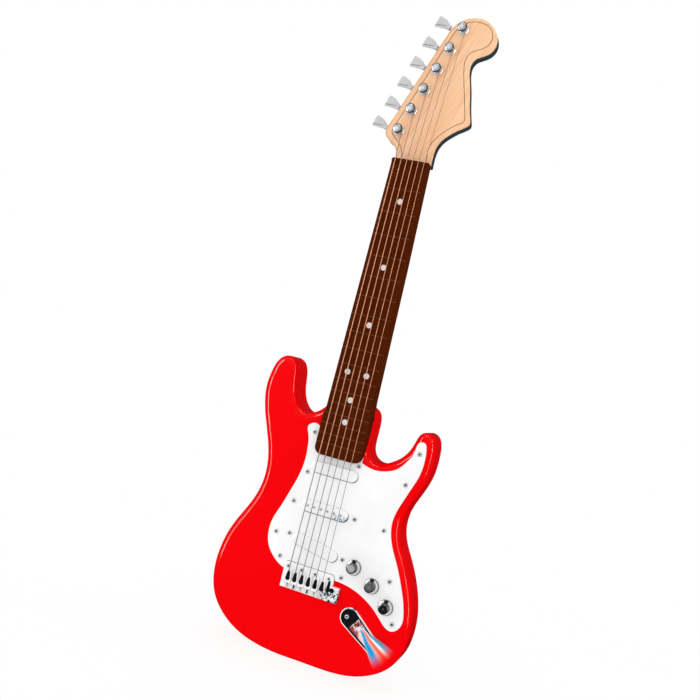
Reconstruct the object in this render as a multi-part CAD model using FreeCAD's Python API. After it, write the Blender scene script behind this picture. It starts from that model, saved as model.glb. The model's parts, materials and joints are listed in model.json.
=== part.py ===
import FreeCAD, Part
import math
import os

# Toy electric guitar, 0.66 m long, standing upright: +Z runs up the neck, the strings face -Y,
# and +X is on the right of somebody who looks at the front. All sizes are in millimetres.
# The origin is the mouth of the strap socket at the tail, half way through the body's depth.

Vector = FreeCAD.Vector
Y_AXIS = Vector(0, 1, 0)
Z_AXIS = Vector(0, 0, 1)

# ---- Driving dimensions -----------------------------------------------------------------------
BODY_DEPTH = 38.0
FRONT = -BODY_DEPTH / 2          # the body's front face
BACK = BODY_DEPTH / 2            # the body's flat back face
SEAM = 5.0                       # where the front and back shells meet
WALL = 2.6
FRONT_ROUND = 7.5
BACK_ROUND = 6.0

GUARD_THICKNESS = 1.6
GUARD_TOP = FRONT - GUARD_THICKNESS

BOARD_TOP = -28.0                # playing face of the fretboard
BOARD_THICKNESS = 5.0
NUT_HEIGHT = 508.2               # where the neck ends and the headstock starts
NUT_HALF_WIDTH = 18.9
BODY_END_HALF_WIDTH = 22.9
COLLAR_HALF_WIDTH = 24.4         # the board is wider where it lies on the body
COLLAR_TOP = 248.5
BOARD_END = 204.3
BOARD_CORNER = 7.5
HEEL_CORNER = 6.5
POCKET_FLOOR = -11.0
NECK_START = 265.5               # the round part of the neck starts above the body

STRING_COUNT = 6
BRIDGE_PITCH = 7.25
NUT_PITCH = 6.0
BRIDGE_STRING_Y = -30.6
NUT_STRING_Y = -29.7

HEAD_FRONT = -17.0
HEAD_PLATE = 2.4
HEAD_BACK = -3.0
HEAD_WALL = 2.4
POST_FIRST = (-22.7, 539.0)
POST_STEP = (7.96, 22.1)
POST_RADIUS = 4.0
WAIST_RADIUS = 3.1               # the string lies round this part of its post
POST_TOP = -23.2
KEY_AXIS_Y = -9.0
KEY_TILT = math.radians(20.0)    # keys point left and up, square to the headstock's edge
KEY_OFFSET = 2.2                 # a key's axis passes this far below the middle of its post
KEY_SHAFT_RADIUS = 1.5
RUNNING_GAP = 0.06
KEY_OUTLINE = [                    # grip, as (distance from the post, distance from the axis)
    (17.0, 2.2), (18.8, 3.3), (21.0, 4.8), (23.6, 5.8), (27.2, 6.4), (31.4, 6.8), (32.2, 6.2),
    (32.0, -4.9), (31.2, -5.4), (27.0, -4.3), (22.0, -3.1), (17.0, -2.2)]

KNOBS = {"volume": (42.0, 106.8), "tone_1": (63.7, 95.0), "tone_2": (82.0, 79.9)}
KNOB_SKIRT = 7.3
KNOB_HEIGHT = 10.0
POT_SHAFT_RADIUS = 3.0

PICKUPS = {"neck": (0.0, 191.2, 0.0), "middle": (0.0, 151.8, 0.0), "bridge": (-0.4, 114.2, -9.5)}
PICKUP_LENGTH = 49.0
PICKUP_WIDTH = 11.6
PICKUP_HEIGHT = 3.6

BRIDGE_HALF_WIDTH = 26.3
BRIDGE_BOTTOM = 68.0
BRIDGE_TOP = 93.5
BRIDGE_THICKNESS = 5.0
BRIDGE_EAR = 33.8                # the plate's lower right corner reaches out to here
BRIDGE_EAR_TOP = 83.0
BRIDGE_EAR_HOLE = 27.2, 79.5     # centre of the round hole in that corner
BRIDGE_CORNER = 3.5
BRIDGE_SCREWS = [-21.8, -7.3, 7.3, 21.8]
BRIDGE_SCREW_Z = 89.5

LAMP_LARGE = (50.3, 59.5, 9.7)   # x, z, radius of the lamp's black end
LAMP_SMALL = (79.8, 39.0, 7.0)
LAMP_RIM = 1.1
LAMP_SPLIT = 0.187               # the black cap ends this far along the lamp
LAMP_SCREW = (47.8, 60.1)
LAMP_POSTS = [(44.2, 58.0), (82.0, 37.4)]
LAMP_BOARD = FRONT + WALL + 3.4  # front face of the board that carries the diodes

SPEAKER = (-60.0, 70.0)
SPEAKER_RADIUS = 24.0
BATTERY_BOX = (0.0, 118.0)       # centre of the box, seen from the front
CELL_RADIUS = 7.1
CELL_LENGTH = 49.5
CELL_PITCH = 14.8
BOX_WIDTH = 49.0
BOX_HEIGHT = 62.0
BOX_DEPTH = 16.0
DOOR_GAP = 0.35
DOOR_THICKNESS = 1.5
DOOR_RECESS = 1.8
DOOR_SCREW = (0.0, 146.2)
SWITCH = (48.0, 172.0)
SWITCH_TRAVEL = 4.0

SOCKET_RADIUS = 3.0
SOCKET_DEPTH = 14.0
HORN_TIP = Vector(-81.2, 0, 291.4)
HORN_AXIS = Vector(-0.22, 0, 1.0).normalize()

# Corner points of the free curves, as (x, z).
BODY_OUTLINE = [
    (0, 0), (-38, 1.8), (-63, 8.6), (-83, 20.8), (-96.5, 37), (-103, 59.5), (-102.3, 83),
    (-96.5, 105.5), (-87.5, 124.8), (-79, 143), (-74.3, 163), (-76.7, 190.3), (-84.9, 213.9),
    (-92.8, 235.3), (-96.3, 256), (-94, 274.5), (-88.4, 287), (-79.8, 291.6), (-71.6, 289),
    (-66.8, 281), (-64.4, 267), (-59.5, 251), (-48, 240.6), (-35, 244.2), (-25, 254), (-12, 262.6),
    (10, 263.2), (22, 257.5), (25.2, 244), (25.2, 229), (28.6, 215), (38.5, 209.7), (50, 213.4),
    (61, 221.8), (68, 233), (70.7, 241.7), (73.8, 248.3), (80.7, 251.3), (87.6, 248.2),
    (90.9, 241), (92.2, 228), (91.1, 210.5), (84.9, 190.6), (77.8, 171.8), (76.3, 158.5),
    (79.4, 143), (89.3, 124.6), (101.4, 99.6), (108.3, 74.7), (108.9, 52), (104.6, 34.5),
    (96, 21.8), (81, 10.8), (61, 3.4), (33, 0.4)]
GUARD_LEFT = [
    (-27.7, 230.9), (-35.4, 231.2), (-38.6, 227.6), (-36.7, 220.5), (-33.8, 208), (-33.1, 197.5),
    (-34, 185), (-36.9, 172), (-41.4, 157.5), (-46.7, 141.5), (-51.1, 129.5), (-52.5, 118.5),
    (-51.5, 109.3), (-48.1, 101), (-42.5, 94.3), (-35.2, 88.7), (-26.7, 85)]
GUARD_RIGHT = [
    (26.7, 88.9), (37.3, 88.3), (49.3, 85.6), (61.3, 80.5), (72.3, 73.4), (81.3, 65.4),
    (86.3, 61.5), (91.5, 59.9), (97, 62.2), (101, 69.5), (100.3, 79), (97.3, 89.5), (90.9, 105),
    (83.3, 120.5), (75.3, 134.5), (70.3, 146.5), (68.4, 157.5), (69.5, 168.3), (73.3, 180.5),
    (78.3, 194.5), (83.3, 209.5), (84.8, 223.5), (83.9, 235), (80.9, 241), (76.7, 240.8),
    (73.4, 231.1), (67.8, 218.5), (60.3, 209.7), (50.9, 205.1), (40.3, 203.1), (30.9, 204.3),
    (24.7, 206.3)]
GUARD_SCREWS = [
    (-30.2, 223.5), (-27.5, 183.5), (-34.2, 151.9), (-30.2, 120), (-44.5, 117.5), (-34.2, 95.5),
    (22.9, 202.2), (31.5, 151.5), (29.3, 110.5), (32.5, 93.5), (78.6, 229.5), (72.5, 197.5),
    (62.5, 149.5), (80.1, 104.5), (92.1, 66.5)]
HEAD_OUTLINE = [
    (-20, NUT_HEIGHT), (-20.4, 517.5), (-23.4, 522.4), (-29, 526.6), (-34.7, 531.3),
    (-36.6, 537), (-34, 545.5), (-25.4, 568.3), (-15.2, 595.6), (-6.2, 619.5), (1.2, 639.2),
    (6, 650), (12.4, 656.8), (20.1, 661), (28.5, 662.5), (37, 661.2), (44.3, 657.2),
    (50, 651.3), (53.6, 643.5), (53.4, 635.8), (49.6, 629.4), (42.8, 625), (36.9, 621.6),
    (33.8, 616), (33.7, 609), (37.5, 594.5), (41.9, 575.5), (46.1, 560.5), (46.6, 556),
    (43.6, 552.6), (37.2, 548.6), (30.2, 543.2), (23.6, 536.6), (19.6, 529), (18.3, 521),
    (18.4, NUT_HEIGHT)]
FRET_HEIGHTS = [
    477.5, 453.5, 430, 408.5, 387.5, 367, 348, 330.5, 313.5, 297.5, 282.5, 269.5, 257.5, 246.5,
    236, 226, 216.5]
DOTS = [
    (0, 465.3), (0, 398), (0, 339.3), (-10, 290), (10, 290), (0, 263.3), (0, 241)]

BODY_SCREWS = [
    (-92, 62), (-60, 19), (8, 12), (74, 19), (99, 62), (-74, 132), (67, 150), (-80, 262),
    (80, 233), (-68, 200)]
NECK_SCREWS = [(-14, 216), (14, 216), (-14, 242), (14, 242)]
BOARD_POSTS = [(-58, 128), (-34, 128), (-58, 166), (-34, 166)]
HEAD_SCREWS = [(-8, 526), (8, 526), (28, 556), (32, 640)]


# ---- Helpers ----------------------------------------------------------------------------------
def smooth(points, y, closed=False):
    """Smooth curve through (x, z) points at depth y."""
    curve = Part.BSplineCurve()
    places = [Vector(x, y, z) for x, z in points]
    if closed:
        curve.interpolate(places, PeriodicFlag=True)
    else:
        curve.interpolate(places)
    return curve


def split_edges(curve, count=16):
    """A curve as a chain of edges."""
    first, last = curve.FirstParameter, curve.LastParameter
    step = (last - first) / count
    return [curve.toShape(first + i * step, first + (i + 1) * step) for i in range(count)]


def inset_outline(curve, distance, closed=True, samples=110):
    """Curve a fixed distance inside a curve that lies in an XZ plane."""
    first, last = curve.FirstParameter, curve.LastParameter
    ring = []
    for i in range(samples if closed else samples + 1):
        u = first + (last - first) * i / samples
        point, tangent = curve.value(u), Vector(*curve.tangent(u)[0])
        normal = Y_AXIS.cross(tangent).normalize()
        ring.append((point.x + normal.x * distance, point.z + normal.z * distance))
    return smooth(ring, curve.value(first).y, closed)


def positive(shape):
    """The same solid with its faces pointing outwards."""
    if shape.Volume < 0:
        shape.reverse()
    return shape


def plate(edges, depth):
    """Solid made by moving a closed outline along +Y."""
    wire = Part.Wire(edges) if isinstance(edges, list) else Part.Wire([edges])
    return positive(Part.Face(wire).extrude(Vector(0, depth, 0)))


def polygon(points, y):
    corners = [Vector(x, y, z) for x, z in points]
    return Part.makePolygon(corners + corners[:1])


def box(x0, x1, y0, y1, z0, z1):
    return Part.makeBox(x1 - x0, y1 - y0, z1 - z0, Vector(x0, y0, z0))


def rod(x, z, y0, y1, radius):
    """Round rod along Y."""
    return Part.makeCylinder(radius, y1 - y0, Vector(x, y0, z), Y_AXIS)


def bar(start, end, radius):
    """Round rod between two points."""
    run = end - start
    return Part.makeCylinder(radius, run.Length, start, run)


def turned(profile, x, z, y):
    """Solid of revolution about Y; the profile is (radius, height), and height runs to the front."""
    corners = [Vector(r, -h, 0) for r, h in profile]
    face = Part.Face(Part.makePolygon(corners + corners[:1]))
    solid = positive(face.revolve(Vector(0, 0, 0), Y_AXIS, 360))
    solid.translate(Vector(x, y, z))
    return solid


def edges_at(shape, y):
    """Edges that lie wholly at depth y."""
    found = []
    for edge in shape.Edges:
        limits = edge.BoundBox
        if abs(limits.YMin - y) < 0.01 and abs(limits.YMax - y) < 0.01:
            found.append(edge)
    return found


def rounded(shape, radius, y):
    return shape.makeFillet(radius, edges_at(shape, y))


def join(shapes):
    """One solid from touching solids."""
    return shapes[0].multiFuse(shapes[1:]).removeSplitter()


def tapered_slot(large, small, y, depth, inset=0.0):
    """Plate bounded by two circles of different size and their common tangents."""
    (x1, z1, r1), (x2, z2, r2) = large, small
    r1, r2 = r1 - inset, r2 - inset
    length = math.hypot(x2 - x1, z2 - z1)
    heading = math.atan2(z2 - z1, x2 - x1)
    lean = math.acos((r1 - r2) / length)

    def point(x, z, r, angle):
        return Vector(x + r * math.cos(angle), y, z + r * math.sin(angle))

    upper, lower = heading + lean, heading - lean
    a, b = point(x1, z1, r1, upper), point(x1, z1, r1, lower)
    c, d = point(x2, z2, r2, lower), point(x2, z2, r2, upper)
    edges = [Part.Arc(a, point(x1, z1, r1, heading + math.pi), b).toShape(),
             Part.LineSegment(b, c).toShape(),
             Part.Arc(c, point(x2, z2, r2, heading), d).toShape(),
             Part.LineSegment(d, a).toShape()]
    return plate(edges, depth)


def tube(points, radius, longest_trim=100.0, tail=None):
    """Round wire along straight runs joined by arcs; an arc called tail may end it."""
    share = 0.45
    edges, start = [], points[0]
    for before, corner, after in zip(points, points[1:], points[2:]):
        way_in, way_out = (corner - before), (after - corner)
        trim = min(share * min(way_in.Length, way_out.Length), longest_trim)
        way_in.normalize()
        way_out.normalize()
        enter, leave = corner - way_in * trim, corner + way_out * trim
        half = way_in.getAngle(way_out) / 2
        bend = trim / math.tan(half)
        middle = corner + (way_out - way_in).normalize() * (bend / math.cos(half) - bend)
        edges.append(Part.LineSegment(start, enter).toShape())
        edges.append(Part.Arc(enter, middle, leave).toShape())
        start = leave
    edges.append(Part.LineSegment(start, points[-1]).toShape())
    path = Part.Wire(edges + ([tail] if tail else []))
    ring = Part.Circle(points[0], points[1] - points[0], radius).toShape()
    return positive(path.makePipeShell([Part.Wire([ring])], True, True))


def screw(x, z, seat, tip, head_radius, head_height, shank_radius, to_back):
    """Screw along Y with a cross recess; the head's underside is at the seat."""
    way = 1 if to_back else -1
    head_end = seat + way * head_height
    head = rod(x, z, min(seat, head_end), max(seat, head_end), head_radius)
    shank = rod(x, z, min(seat, tip), max(seat, tip), shank_radius)
    arm, half, deep = head_radius * 0.62, head_radius * 0.14, head_height * 0.45
    low, high = sorted((head_end + way * 0.1, head_end - way * deep))
    across = box(x - arm, x + arm, low, high, z - half, z + half)
    upright = box(x - half, x + half, low, high, z - arm, z + arm)
    return head.fuse(shank).cut(across.fuse(upright))


def board_half_width(z):
    share = (z - COLLAR_TOP) / (NUT_HEIGHT - COLLAR_TOP)
    return BODY_END_HALF_WIDTH + share * (NUT_HALF_WIDTH - BODY_END_HALF_WIDTH)


def string_x(index, pitch):
    return (index - (STRING_COUNT - 1) / 2) * pitch


def post_place(index):
    return POST_FIRST[0] + index * POST_STEP[0], POST_FIRST[1] + index * POST_STEP[1]


# ---- Body -------------------------------------------------------------------------------------
def body_blank():
    outline = smooth(BODY_OUTLINE, FRONT, closed=True)
    solid = plate(split_edges(outline), BODY_DEPTH)
    solid = rounded(solid, FRONT_ROUND, FRONT)
    solid = rounded(solid, BACK_ROUND, BACK)
    below_tail = box(-150, 150, FRONT - 1, BACK + 1, -5, 0)
    return solid.cut(below_tail)


def body_cavity():
    outline = smooth(BODY_OUTLINE, FRONT + WALL, closed=True)
    inner = inset_outline(outline, WALL)
    solid = plate(split_edges(inner), BODY_DEPTH - 2 * WALL)
    solid = rounded(solid, FRONT_ROUND - WALL, FRONT + WALL)
    return rounded(solid, BACK_ROUND - WALL, BACK - WALL)


def neck_pocket(clearance):
    """Space for the neck's heel in the front of the body."""
    half = COLLAR_HALF_WIDTH + clearance
    space = box(-half, half, FRONT - 5, POCKET_FLOOR, BOARD_END + 1.0 - clearance, 300)
    corners = [edge for edge in space.Edges if edge.BoundBox.ZMax < BOARD_END + 2
               and edge.BoundBox.YLength > 1]
    return space.makeFillet(HEEL_CORNER + clearance, corners)


def front_shell(blank, cavity):
    front_half = box(-150, 150, FRONT - 1, SEAM, -20, 320)
    shell = blank.common(front_half).cut(cavity)
    block = blank.common(box(-29, 29, FRONT - 1, POCKET_FLOOR + 6, 200, 300))
    bosses = [rod(x, z, FRONT + 2, SEAM, 4.2) for x, z in BODY_SCREWS]
    bosses += [rod(x, z, POCKET_FLOOR + 5, SEAM, 4.2) for x, z in NECK_SCREWS]
    bosses += [rod(x, z, FRONT + 2, FRONT + WALL + 4, 3.0) for x, z in BOARD_POSTS]
    bosses += [rod(x, z, FRONT + 2, LAMP_BOARD, 1.8) for x, z in LAMP_POSTS]
    tail = Part.makeCylinder(6.5, SOCKET_DEPTH + 2, Vector(0, 0, 0.8), Z_AXIS)
    horn = horn_cylinder(6.5, 2.2, SOCKET_DEPTH + 2.5)
    bosses += [tail.common(front_half), horn.common(front_half)]
    shell = join([shell, block] + bosses)
    shell = shell.cut(neck_pocket(0.15))
    holes = [rod(x, z, FRONT - 1, FRONT + 6.5, 1.1) for x, z in GUARD_SCREWS]
    holes += [rod(x, BRIDGE_SCREW_Z, FRONT - 1, FRONT + 6.5, 1.1) for x in BRIDGE_SCREWS]
    holes.append(rod(*LAMP_SCREW, FRONT - 1, FRONT + 6, 0.9))
    holes += [rod(x, z, FRONT + WALL + 1.5, SEAM + 1, 1.3) for x, z in BODY_SCREWS]
    holes += [rod(x, z, FRONT + WALL + 1, FRONT + WALL + 5, 0.9) for x, z in BOARD_POSTS]
    holes += [rod(x, z, POCKET_FLOOR - 1, SEAM + 1, 1.8) for x, z in NECK_SCREWS]
    holes += [rod(x, z, FRONT - 1, FRONT + WALL + 1, 4.2) for x, z in KNOBS.values()]
    holes.append(Part.makeCylinder(SOCKET_RADIUS, SOCKET_DEPTH + 5, Vector(0, 0, -5), Z_AXIS))
    holes.append(horn_cylinder(SOCKET_RADIUS, -8.0, SOCKET_DEPTH))
    window = tapered_slot(LAMP_LARGE, LAMP_SMALL, FRONT - 1, WALL + 3, inset=3.0)
    holes.append(window.common(lamp_side(False)))
    return shell.cut(Part.makeCompound(holes))


def horn_cylinder(radius, start, depth):
    """Cylinder that runs into the upper horn from its tip."""
    return Part.makeCylinder(radius, depth - start, HORN_TIP - HORN_AXIS * start, -HORN_AXIS)


def box_hole(extra):
    """Rectangle in the back wall through which the battery box is reached."""
    x, z = BATTERY_BOX
    half_w, half_h = BOX_WIDTH / 2 + extra, BOX_HEIGHT / 2 + extra
    return x - half_w, x + half_w, z - half_h, z + half_h


def back_shell(blank, cavity):
    back_half = box(-150, 150, SEAM, BACK + 1, -20, 320)
    shell = blank.common(back_half).cut(cavity)
    pillars = [rod(x, z, SEAM, BACK - 1, 4.6) for x, z in BODY_SCREWS]
    pillars += [rod(x, z, SEAM, BACK - 1, 4.6) for x, z in NECK_SCREWS]
    ring = rod(*SPEAKER, BACK - WALL - 2.5, BACK - 1, SPEAKER_RADIUS + 2.4)
    pillars.append(ring.cut(rod(*SPEAKER, 0, BACK - WALL, SPEAKER_RADIUS + 0.2)))
    pillars.append(rod(*DOOR_SCREW, BACK - 4.8, BACK - DOOR_RECESS, 3.0))
    shell = join([shell] + pillars)
    holes = []
    for x, z in BODY_SCREWS + NECK_SCREWS:
        holes.append(rod(x, z, SEAM - 1, BACK + 1, 1.8))
        holes.append(rod(x, z, BACK - 8, BACK + 1, 3.5))
    holes.append(rod(*SPEAKER, BACK - WALL, BACK + 1, 1.3))
    for ring_number in range(1, 5):
        count = 6 * ring_number
        for i in range(count):
            angle = 2 * math.pi * i / count
            reach = 4.8 * ring_number
            x = SPEAKER[0] + reach * math.cos(angle)
            z = SPEAKER[1] + reach * math.sin(angle)
            holes.append(rod(x, z, BACK - WALL - 1, BACK + 1, 1.3))
    x0, x1, z0, z1 = box_hole(0)
    bay = box(x0 + 2, x1 - 2, BACK - WALL - 1, BACK + 1, z0 + 2, z1 - 2)
    tab = box(-5, 5, BACK - WALL, BACK - DOOR_RECESS, DOOR_SCREW[1] - 4, z1)
    tab = tab.fuse(rod(*DOOR_SCREW, BACK - 4.8, BACK - DOOR_RECESS, 3.0))
    holes.append(bay.cut(tab))
    holes.append(box(x0 - 1.5, x1 + 1.5, BACK - DOOR_RECESS, BACK + 1, z0 - 1.5, z1 + 1.5))
    holes.append(rod(*DOOR_SCREW, BACK - 4.4, BACK, 1.3))
    x, z = SWITCH
    slot = box(x - 6, x + 6, BACK - WALL - 1, BACK + 1, z - 2.6, z + 2.6)
    recess = box(x - 8, x + 8, BACK - 1.2, BACK + 1, z - 4.4, z + 4.4)
    holes += [slot, recess]
    return shell.cut(Part.makeCompound(holes))


def pickguard():
    y = GUARD_TOP
    left, right = smooth(GUARD_LEFT, y), smooth(GUARD_RIGHT, y)
    gap = 0.2
    neck_side, bridge_side = COLLAR_HALF_WIDTH + gap, BRIDGE_HALF_WIDTH + gap
    bridge_top, bridge_turn = BRIDGE_TOP + gap, BRIDGE_CORNER + gap
    low, turn = BOARD_END - gap, BOARD_CORNER + gap

    def line(start, end):
        return Part.LineSegment(Vector(start[0], y, start[1]), Vector(end[0], y, end[1])).toShape()

    def bend(x, z, way, radius):
        """Quarter turn that cuts the corner at (x, z); it lies to the side that way points to."""
        arc = radius * (1 - math.sqrt(0.5))
        ends = [(x, z + way[1] * radius), (x + way[0] * arc, z + way[1] * arc),
                (x + way[0] * radius, z)]
        return Part.Arc(*[Vector(a, y, b) for a, b in ends]).toShape()

    left_end, right_end = (-bridge_side, GUARD_LEFT[-1][1]), (bridge_side, GUARD_RIGHT[0][1])
    bridge_notch = [
        line(GUARD_LEFT[-1], left_end),
        line(left_end, (-bridge_side, bridge_top - bridge_turn)),
        bend(-bridge_side, bridge_top, (1, -1), bridge_turn),
        line((bridge_turn - bridge_side, bridge_top), (bridge_side - bridge_turn, bridge_top)),
        bend(bridge_side, bridge_top, (-1, -1), bridge_turn),
        line((bridge_side, bridge_top - bridge_turn), right_end),
        line(right_end, GUARD_RIGHT[0])]
    right_top, left_top = (neck_side, GUARD_RIGHT[-1][1]), (-neck_side, GUARD_LEFT[0][1])
    neck_notch = [
        line(GUARD_RIGHT[-1], right_top),
        line(right_top, (neck_side, low + turn)),
        bend(neck_side, low, (-1, 1), turn),
        line((neck_side - turn, low), (turn - neck_side, low)),
        bend(-neck_side, low, (1, 1), turn),
        line((-neck_side, low + turn), left_top),
        line(left_top, GUARD_LEFT[0])]
    edges = [left.toShape()] + bridge_notch + [right.toShape()] + neck_notch
    guard = plate(edges, GUARD_THICKNESS)
    holes = [rod(x, z, y - 1, FRONT + 1, 1.2) for x, z in GUARD_SCREWS]
    holes += [rod(x, z, y - 1, FRONT + 1, 4.2) for x, z in KNOBS.values()]
    return guard.cut(Part.makeCompound(holes))


def face_screws():
    """Screws of the pickguard and one that holds the lamp's cap."""
    screws = [screw(x, z, GUARD_TOP, FRONT + 6, 2.2, 0.9, 1.1, False) for x, z in GUARD_SCREWS]
    screws.append(screw(*LAMP_SCREW, FRONT - 2.6, FRONT + 5, 2.1, 0.8, 0.9, False))
    return Part.makeCompound(screws)


def body_screws():
    return Part.makeCompound(
        [screw(x, z, BACK - 8, FRONT + WALL + 2, 3.0, 2.0, 1.3, True) for x, z in BODY_SCREWS])


def neck_screws():
    return Part.makeCompound(
        [screw(x, z, BACK - 8, POCKET_FLOOR - 9, 3.0, 2.0, 1.6, True) for x, z in NECK_SCREWS])


# ---- Pickups and bridge -----------------------------------------------------------------------
def pickup_cover(x, z, turn):
    half, radius = (PICKUP_LENGTH - PICKUP_WIDTH) / 2, PICKUP_WIDTH / 2
    cover = tapered_slot((x - half, z, radius), (x + half, z, radius - 0.001),
                         GUARD_TOP - PICKUP_HEIGHT, PICKUP_HEIGHT)
    cover = rounded(cover, 1.2, GUARD_TOP - PICKUP_HEIGHT)
    cover.rotate(Vector(x, 0, z), Y_AXIS, -turn)
    return cover


def bridge_plate():
    y, half = FRONT - BRIDGE_THICKNESS, BRIDGE_HALF_WIDTH
    outline = [(-half, BRIDGE_BOTTOM), (BRIDGE_EAR, BRIDGE_BOTTOM), (BRIDGE_EAR, BRIDGE_EAR_TOP),
               (half, BRIDGE_EAR_TOP), (half, BRIDGE_TOP), (-half, BRIDGE_TOP)]
    solid = plate(polygon(outline, y).Edges, BRIDGE_THICKNESS)
    top_corners = [edge for edge in solid.Edges if edge.BoundBox.ZMin > BRIDGE_TOP - 0.01
                   and edge.BoundBox.YLength > 1]
    solid = solid.makeFillet(BRIDGE_CORNER, top_corners)
    solid = rounded(solid, 0.8, y)
    holes = [rod(x, BRIDGE_SCREW_Z, y - 1, FRONT + 1, 1.2) for x in BRIDGE_SCREWS]
    holes.append(rod(*BRIDGE_EAR_HOLE, y - 1, FRONT - 0.5, 2.4))
    for i in range(STRING_COUNT):
        x = string_x(i, BRIDGE_PITCH)
        holes.append(box(x - 1.4, x + 1.4, y - 1, y + 3.5, 78.0, 85.0))
    return solid.cut(Part.makeCompound(holes))


def saddle(x):
    """Block with a drop-shaped opening through which its string comes up."""
    y0, y1 = BRIDGE_STRING_Y + 0.8, FRONT - BRIDGE_THICKNESS
    half = BRIDGE_PITCH / 2 - 0.35
    block = box(x - half, x + half, y0, y1, 74.5, 87.3)
    front_edges = [edge for edge in block.Edges
                   if abs(edge.BoundBox.YMax - y0) < 0.01 and edge.BoundBox.ZLength < 0.01]
    block = block.makeFillet(1.4, front_edges)
    opening = tapered_slot((x, 79.6, 2.1), (x, 85.6, 1.0), y0 - 1, y1 - y0 + 2)
    return block.cut(opening)


def bridge_saddles():
    return Part.makeCompound(
        [saddle(string_x(i, BRIDGE_PITCH)) for i in range(STRING_COUNT)])


def bridge_screws():
    seat = FRONT - BRIDGE_THICKNESS
    screws = [screw(x, BRIDGE_SCREW_Z, seat, FRONT + 6, 2.0, 0.9, 1.1, False)
              for x in BRIDGE_SCREWS]
    for i in range(STRING_COUNT):
        x = string_x(i, BRIDGE_PITCH)
        start = Vector(x, seat - 2.4, 70.6)
        height = bar(start, Vector(x, seat - 2.4, 74.5), 0.9)
        head = bar(Vector(x, seat - 2.4, 69.4), start, 1.7)
        screws.append(height.fuse(head))
    return Part.makeCompound(screws)


# ---- Neck -------------------------------------------------------------------------------------
def fretboard():
    y, corner = BOARD_TOP, BOARD_CORNER
    top, step, end = COLLAR_HALF_WIDTH, BODY_END_HALF_WIDTH, BOARD_END
    arc = corner * (1 - math.sqrt(0.5))
    rise = COLLAR_TOP - (COLLAR_HALF_WIDTH - BODY_END_HALF_WIDTH)

    def line(a, b):
        return Part.LineSegment(Vector(a[0], y, a[1]), Vector(b[0], y, b[1])).toShape()

    def bend(a, b, c):
        return Part.Arc(*[Vector(p[0], y, p[1]) for p in (a, b, c)]).toShape()

    edges = [line((-NUT_HALF_WIDTH, NUT_HEIGHT), (-step, COLLAR_TOP)),
             line((-step, COLLAR_TOP), (-top, rise)),
             line((-top, rise), (-top, end + corner)),
             bend((-top, end + corner), (-top + arc, end + arc), (-top + corner, end)),
             line((-top + corner, end), (top - corner, end)),
             bend((top - corner, end), (top - arc, end + arc), (top, end + corner)),
             line((top, end + corner), (top, rise)),
             line((top, rise), (step, COLLAR_TOP)),
             line((step, COLLAR_TOP), (NUT_HALF_WIDTH, NUT_HEIGHT)),
             line((NUT_HALF_WIDTH, NUT_HEIGHT), (-NUT_HALF_WIDTH, NUT_HEIGHT))]
    solid = plate(edges, BOARD_THICKNESS)
    front_edges = [edge for edge in edges_at(solid, y) if edge.BoundBox.ZLength > 0.5
                   or edge.BoundBox.ZMax < NUT_HEIGHT - 1]
    solid = solid.makeFillet(0.8, front_edges)
    cuts = [box(-30, 30, y - 1, y + 1.0, z - 0.5, z + 0.5) for z in FRET_HEIGHTS]
    cuts += [rod(x, z, y - 1, y + 1.0, 2.9) for x, z in DOTS]
    cuts.append(box(-30, 30, y - 1, y + 2.5, NUT_HEIGHT - 4.0, NUT_HEIGHT - 1.5))
    return solid.cut(Part.makeCompound(cuts))


def frets():
    """Round-topped wires, each in its slot across the board."""
    wires = []
    for z in FRET_HEIGHTS:
        half = (board_half_width(z) if z > COLLAR_TOP else COLLAR_HALF_WIDTH) - 0.4
        foot = box(-half, half, BOARD_TOP, BOARD_TOP + 1.0, z - 0.5, z + 0.5)
        crown = bar(Vector(-half, BOARD_TOP, z), Vector(half, BOARD_TOP, z), 0.5)
        wires.append(foot.fuse(crown).removeSplitter())
    return Part.makeCompound(wires)


def fret_dots():
    return Part.makeCompound(
        [rod(x, z, BOARD_TOP - 0.1, BOARD_TOP + 1.0, 2.9) for x, z in DOTS])


def nut():
    half = NUT_HALF_WIDTH - 0.2
    solid = box(-half, half, NUT_STRING_Y + 0.2, BOARD_TOP + 2.5, NUT_HEIGHT - 4.0, NUT_HEIGHT - 1.5)
    grooves = []
    for i in range(STRING_COUNT):
        x = string_x(i, NUT_PITCH)
        grooves.append(box(x - 0.85, x + 0.85, NUT_STRING_Y - 2, NUT_STRING_Y + 1.0, 500, 520))
    return solid.cut(Part.makeCompound(grooves))


def neck_section(z, half, side_y, back_y):
    """Flat front, straight sides, then half an ellipse round the back."""
    top = BOARD_TOP + BOARD_THICKNESS
    steps = 10
    ring = [Vector(half * math.cos(math.pi * i / steps), side_y
                   + (back_y - side_y) * math.sin(math.pi * i / steps), z)
            for i in range(steps + 1)]
    curve = Part.BSplineCurve()
    curve.interpolate(ring, InitialTangent=Y_AXIS, FinalTangent=-Y_AXIS)
    a, b = Vector(half, top, z), Vector(-half, top, z)
    return Part.Wire([Part.LineSegment(b, a).toShape(), Part.LineSegment(a, ring[0]).toShape(),
                      curve.toShape(), Part.LineSegment(ring[-1], b).toShape()])


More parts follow.
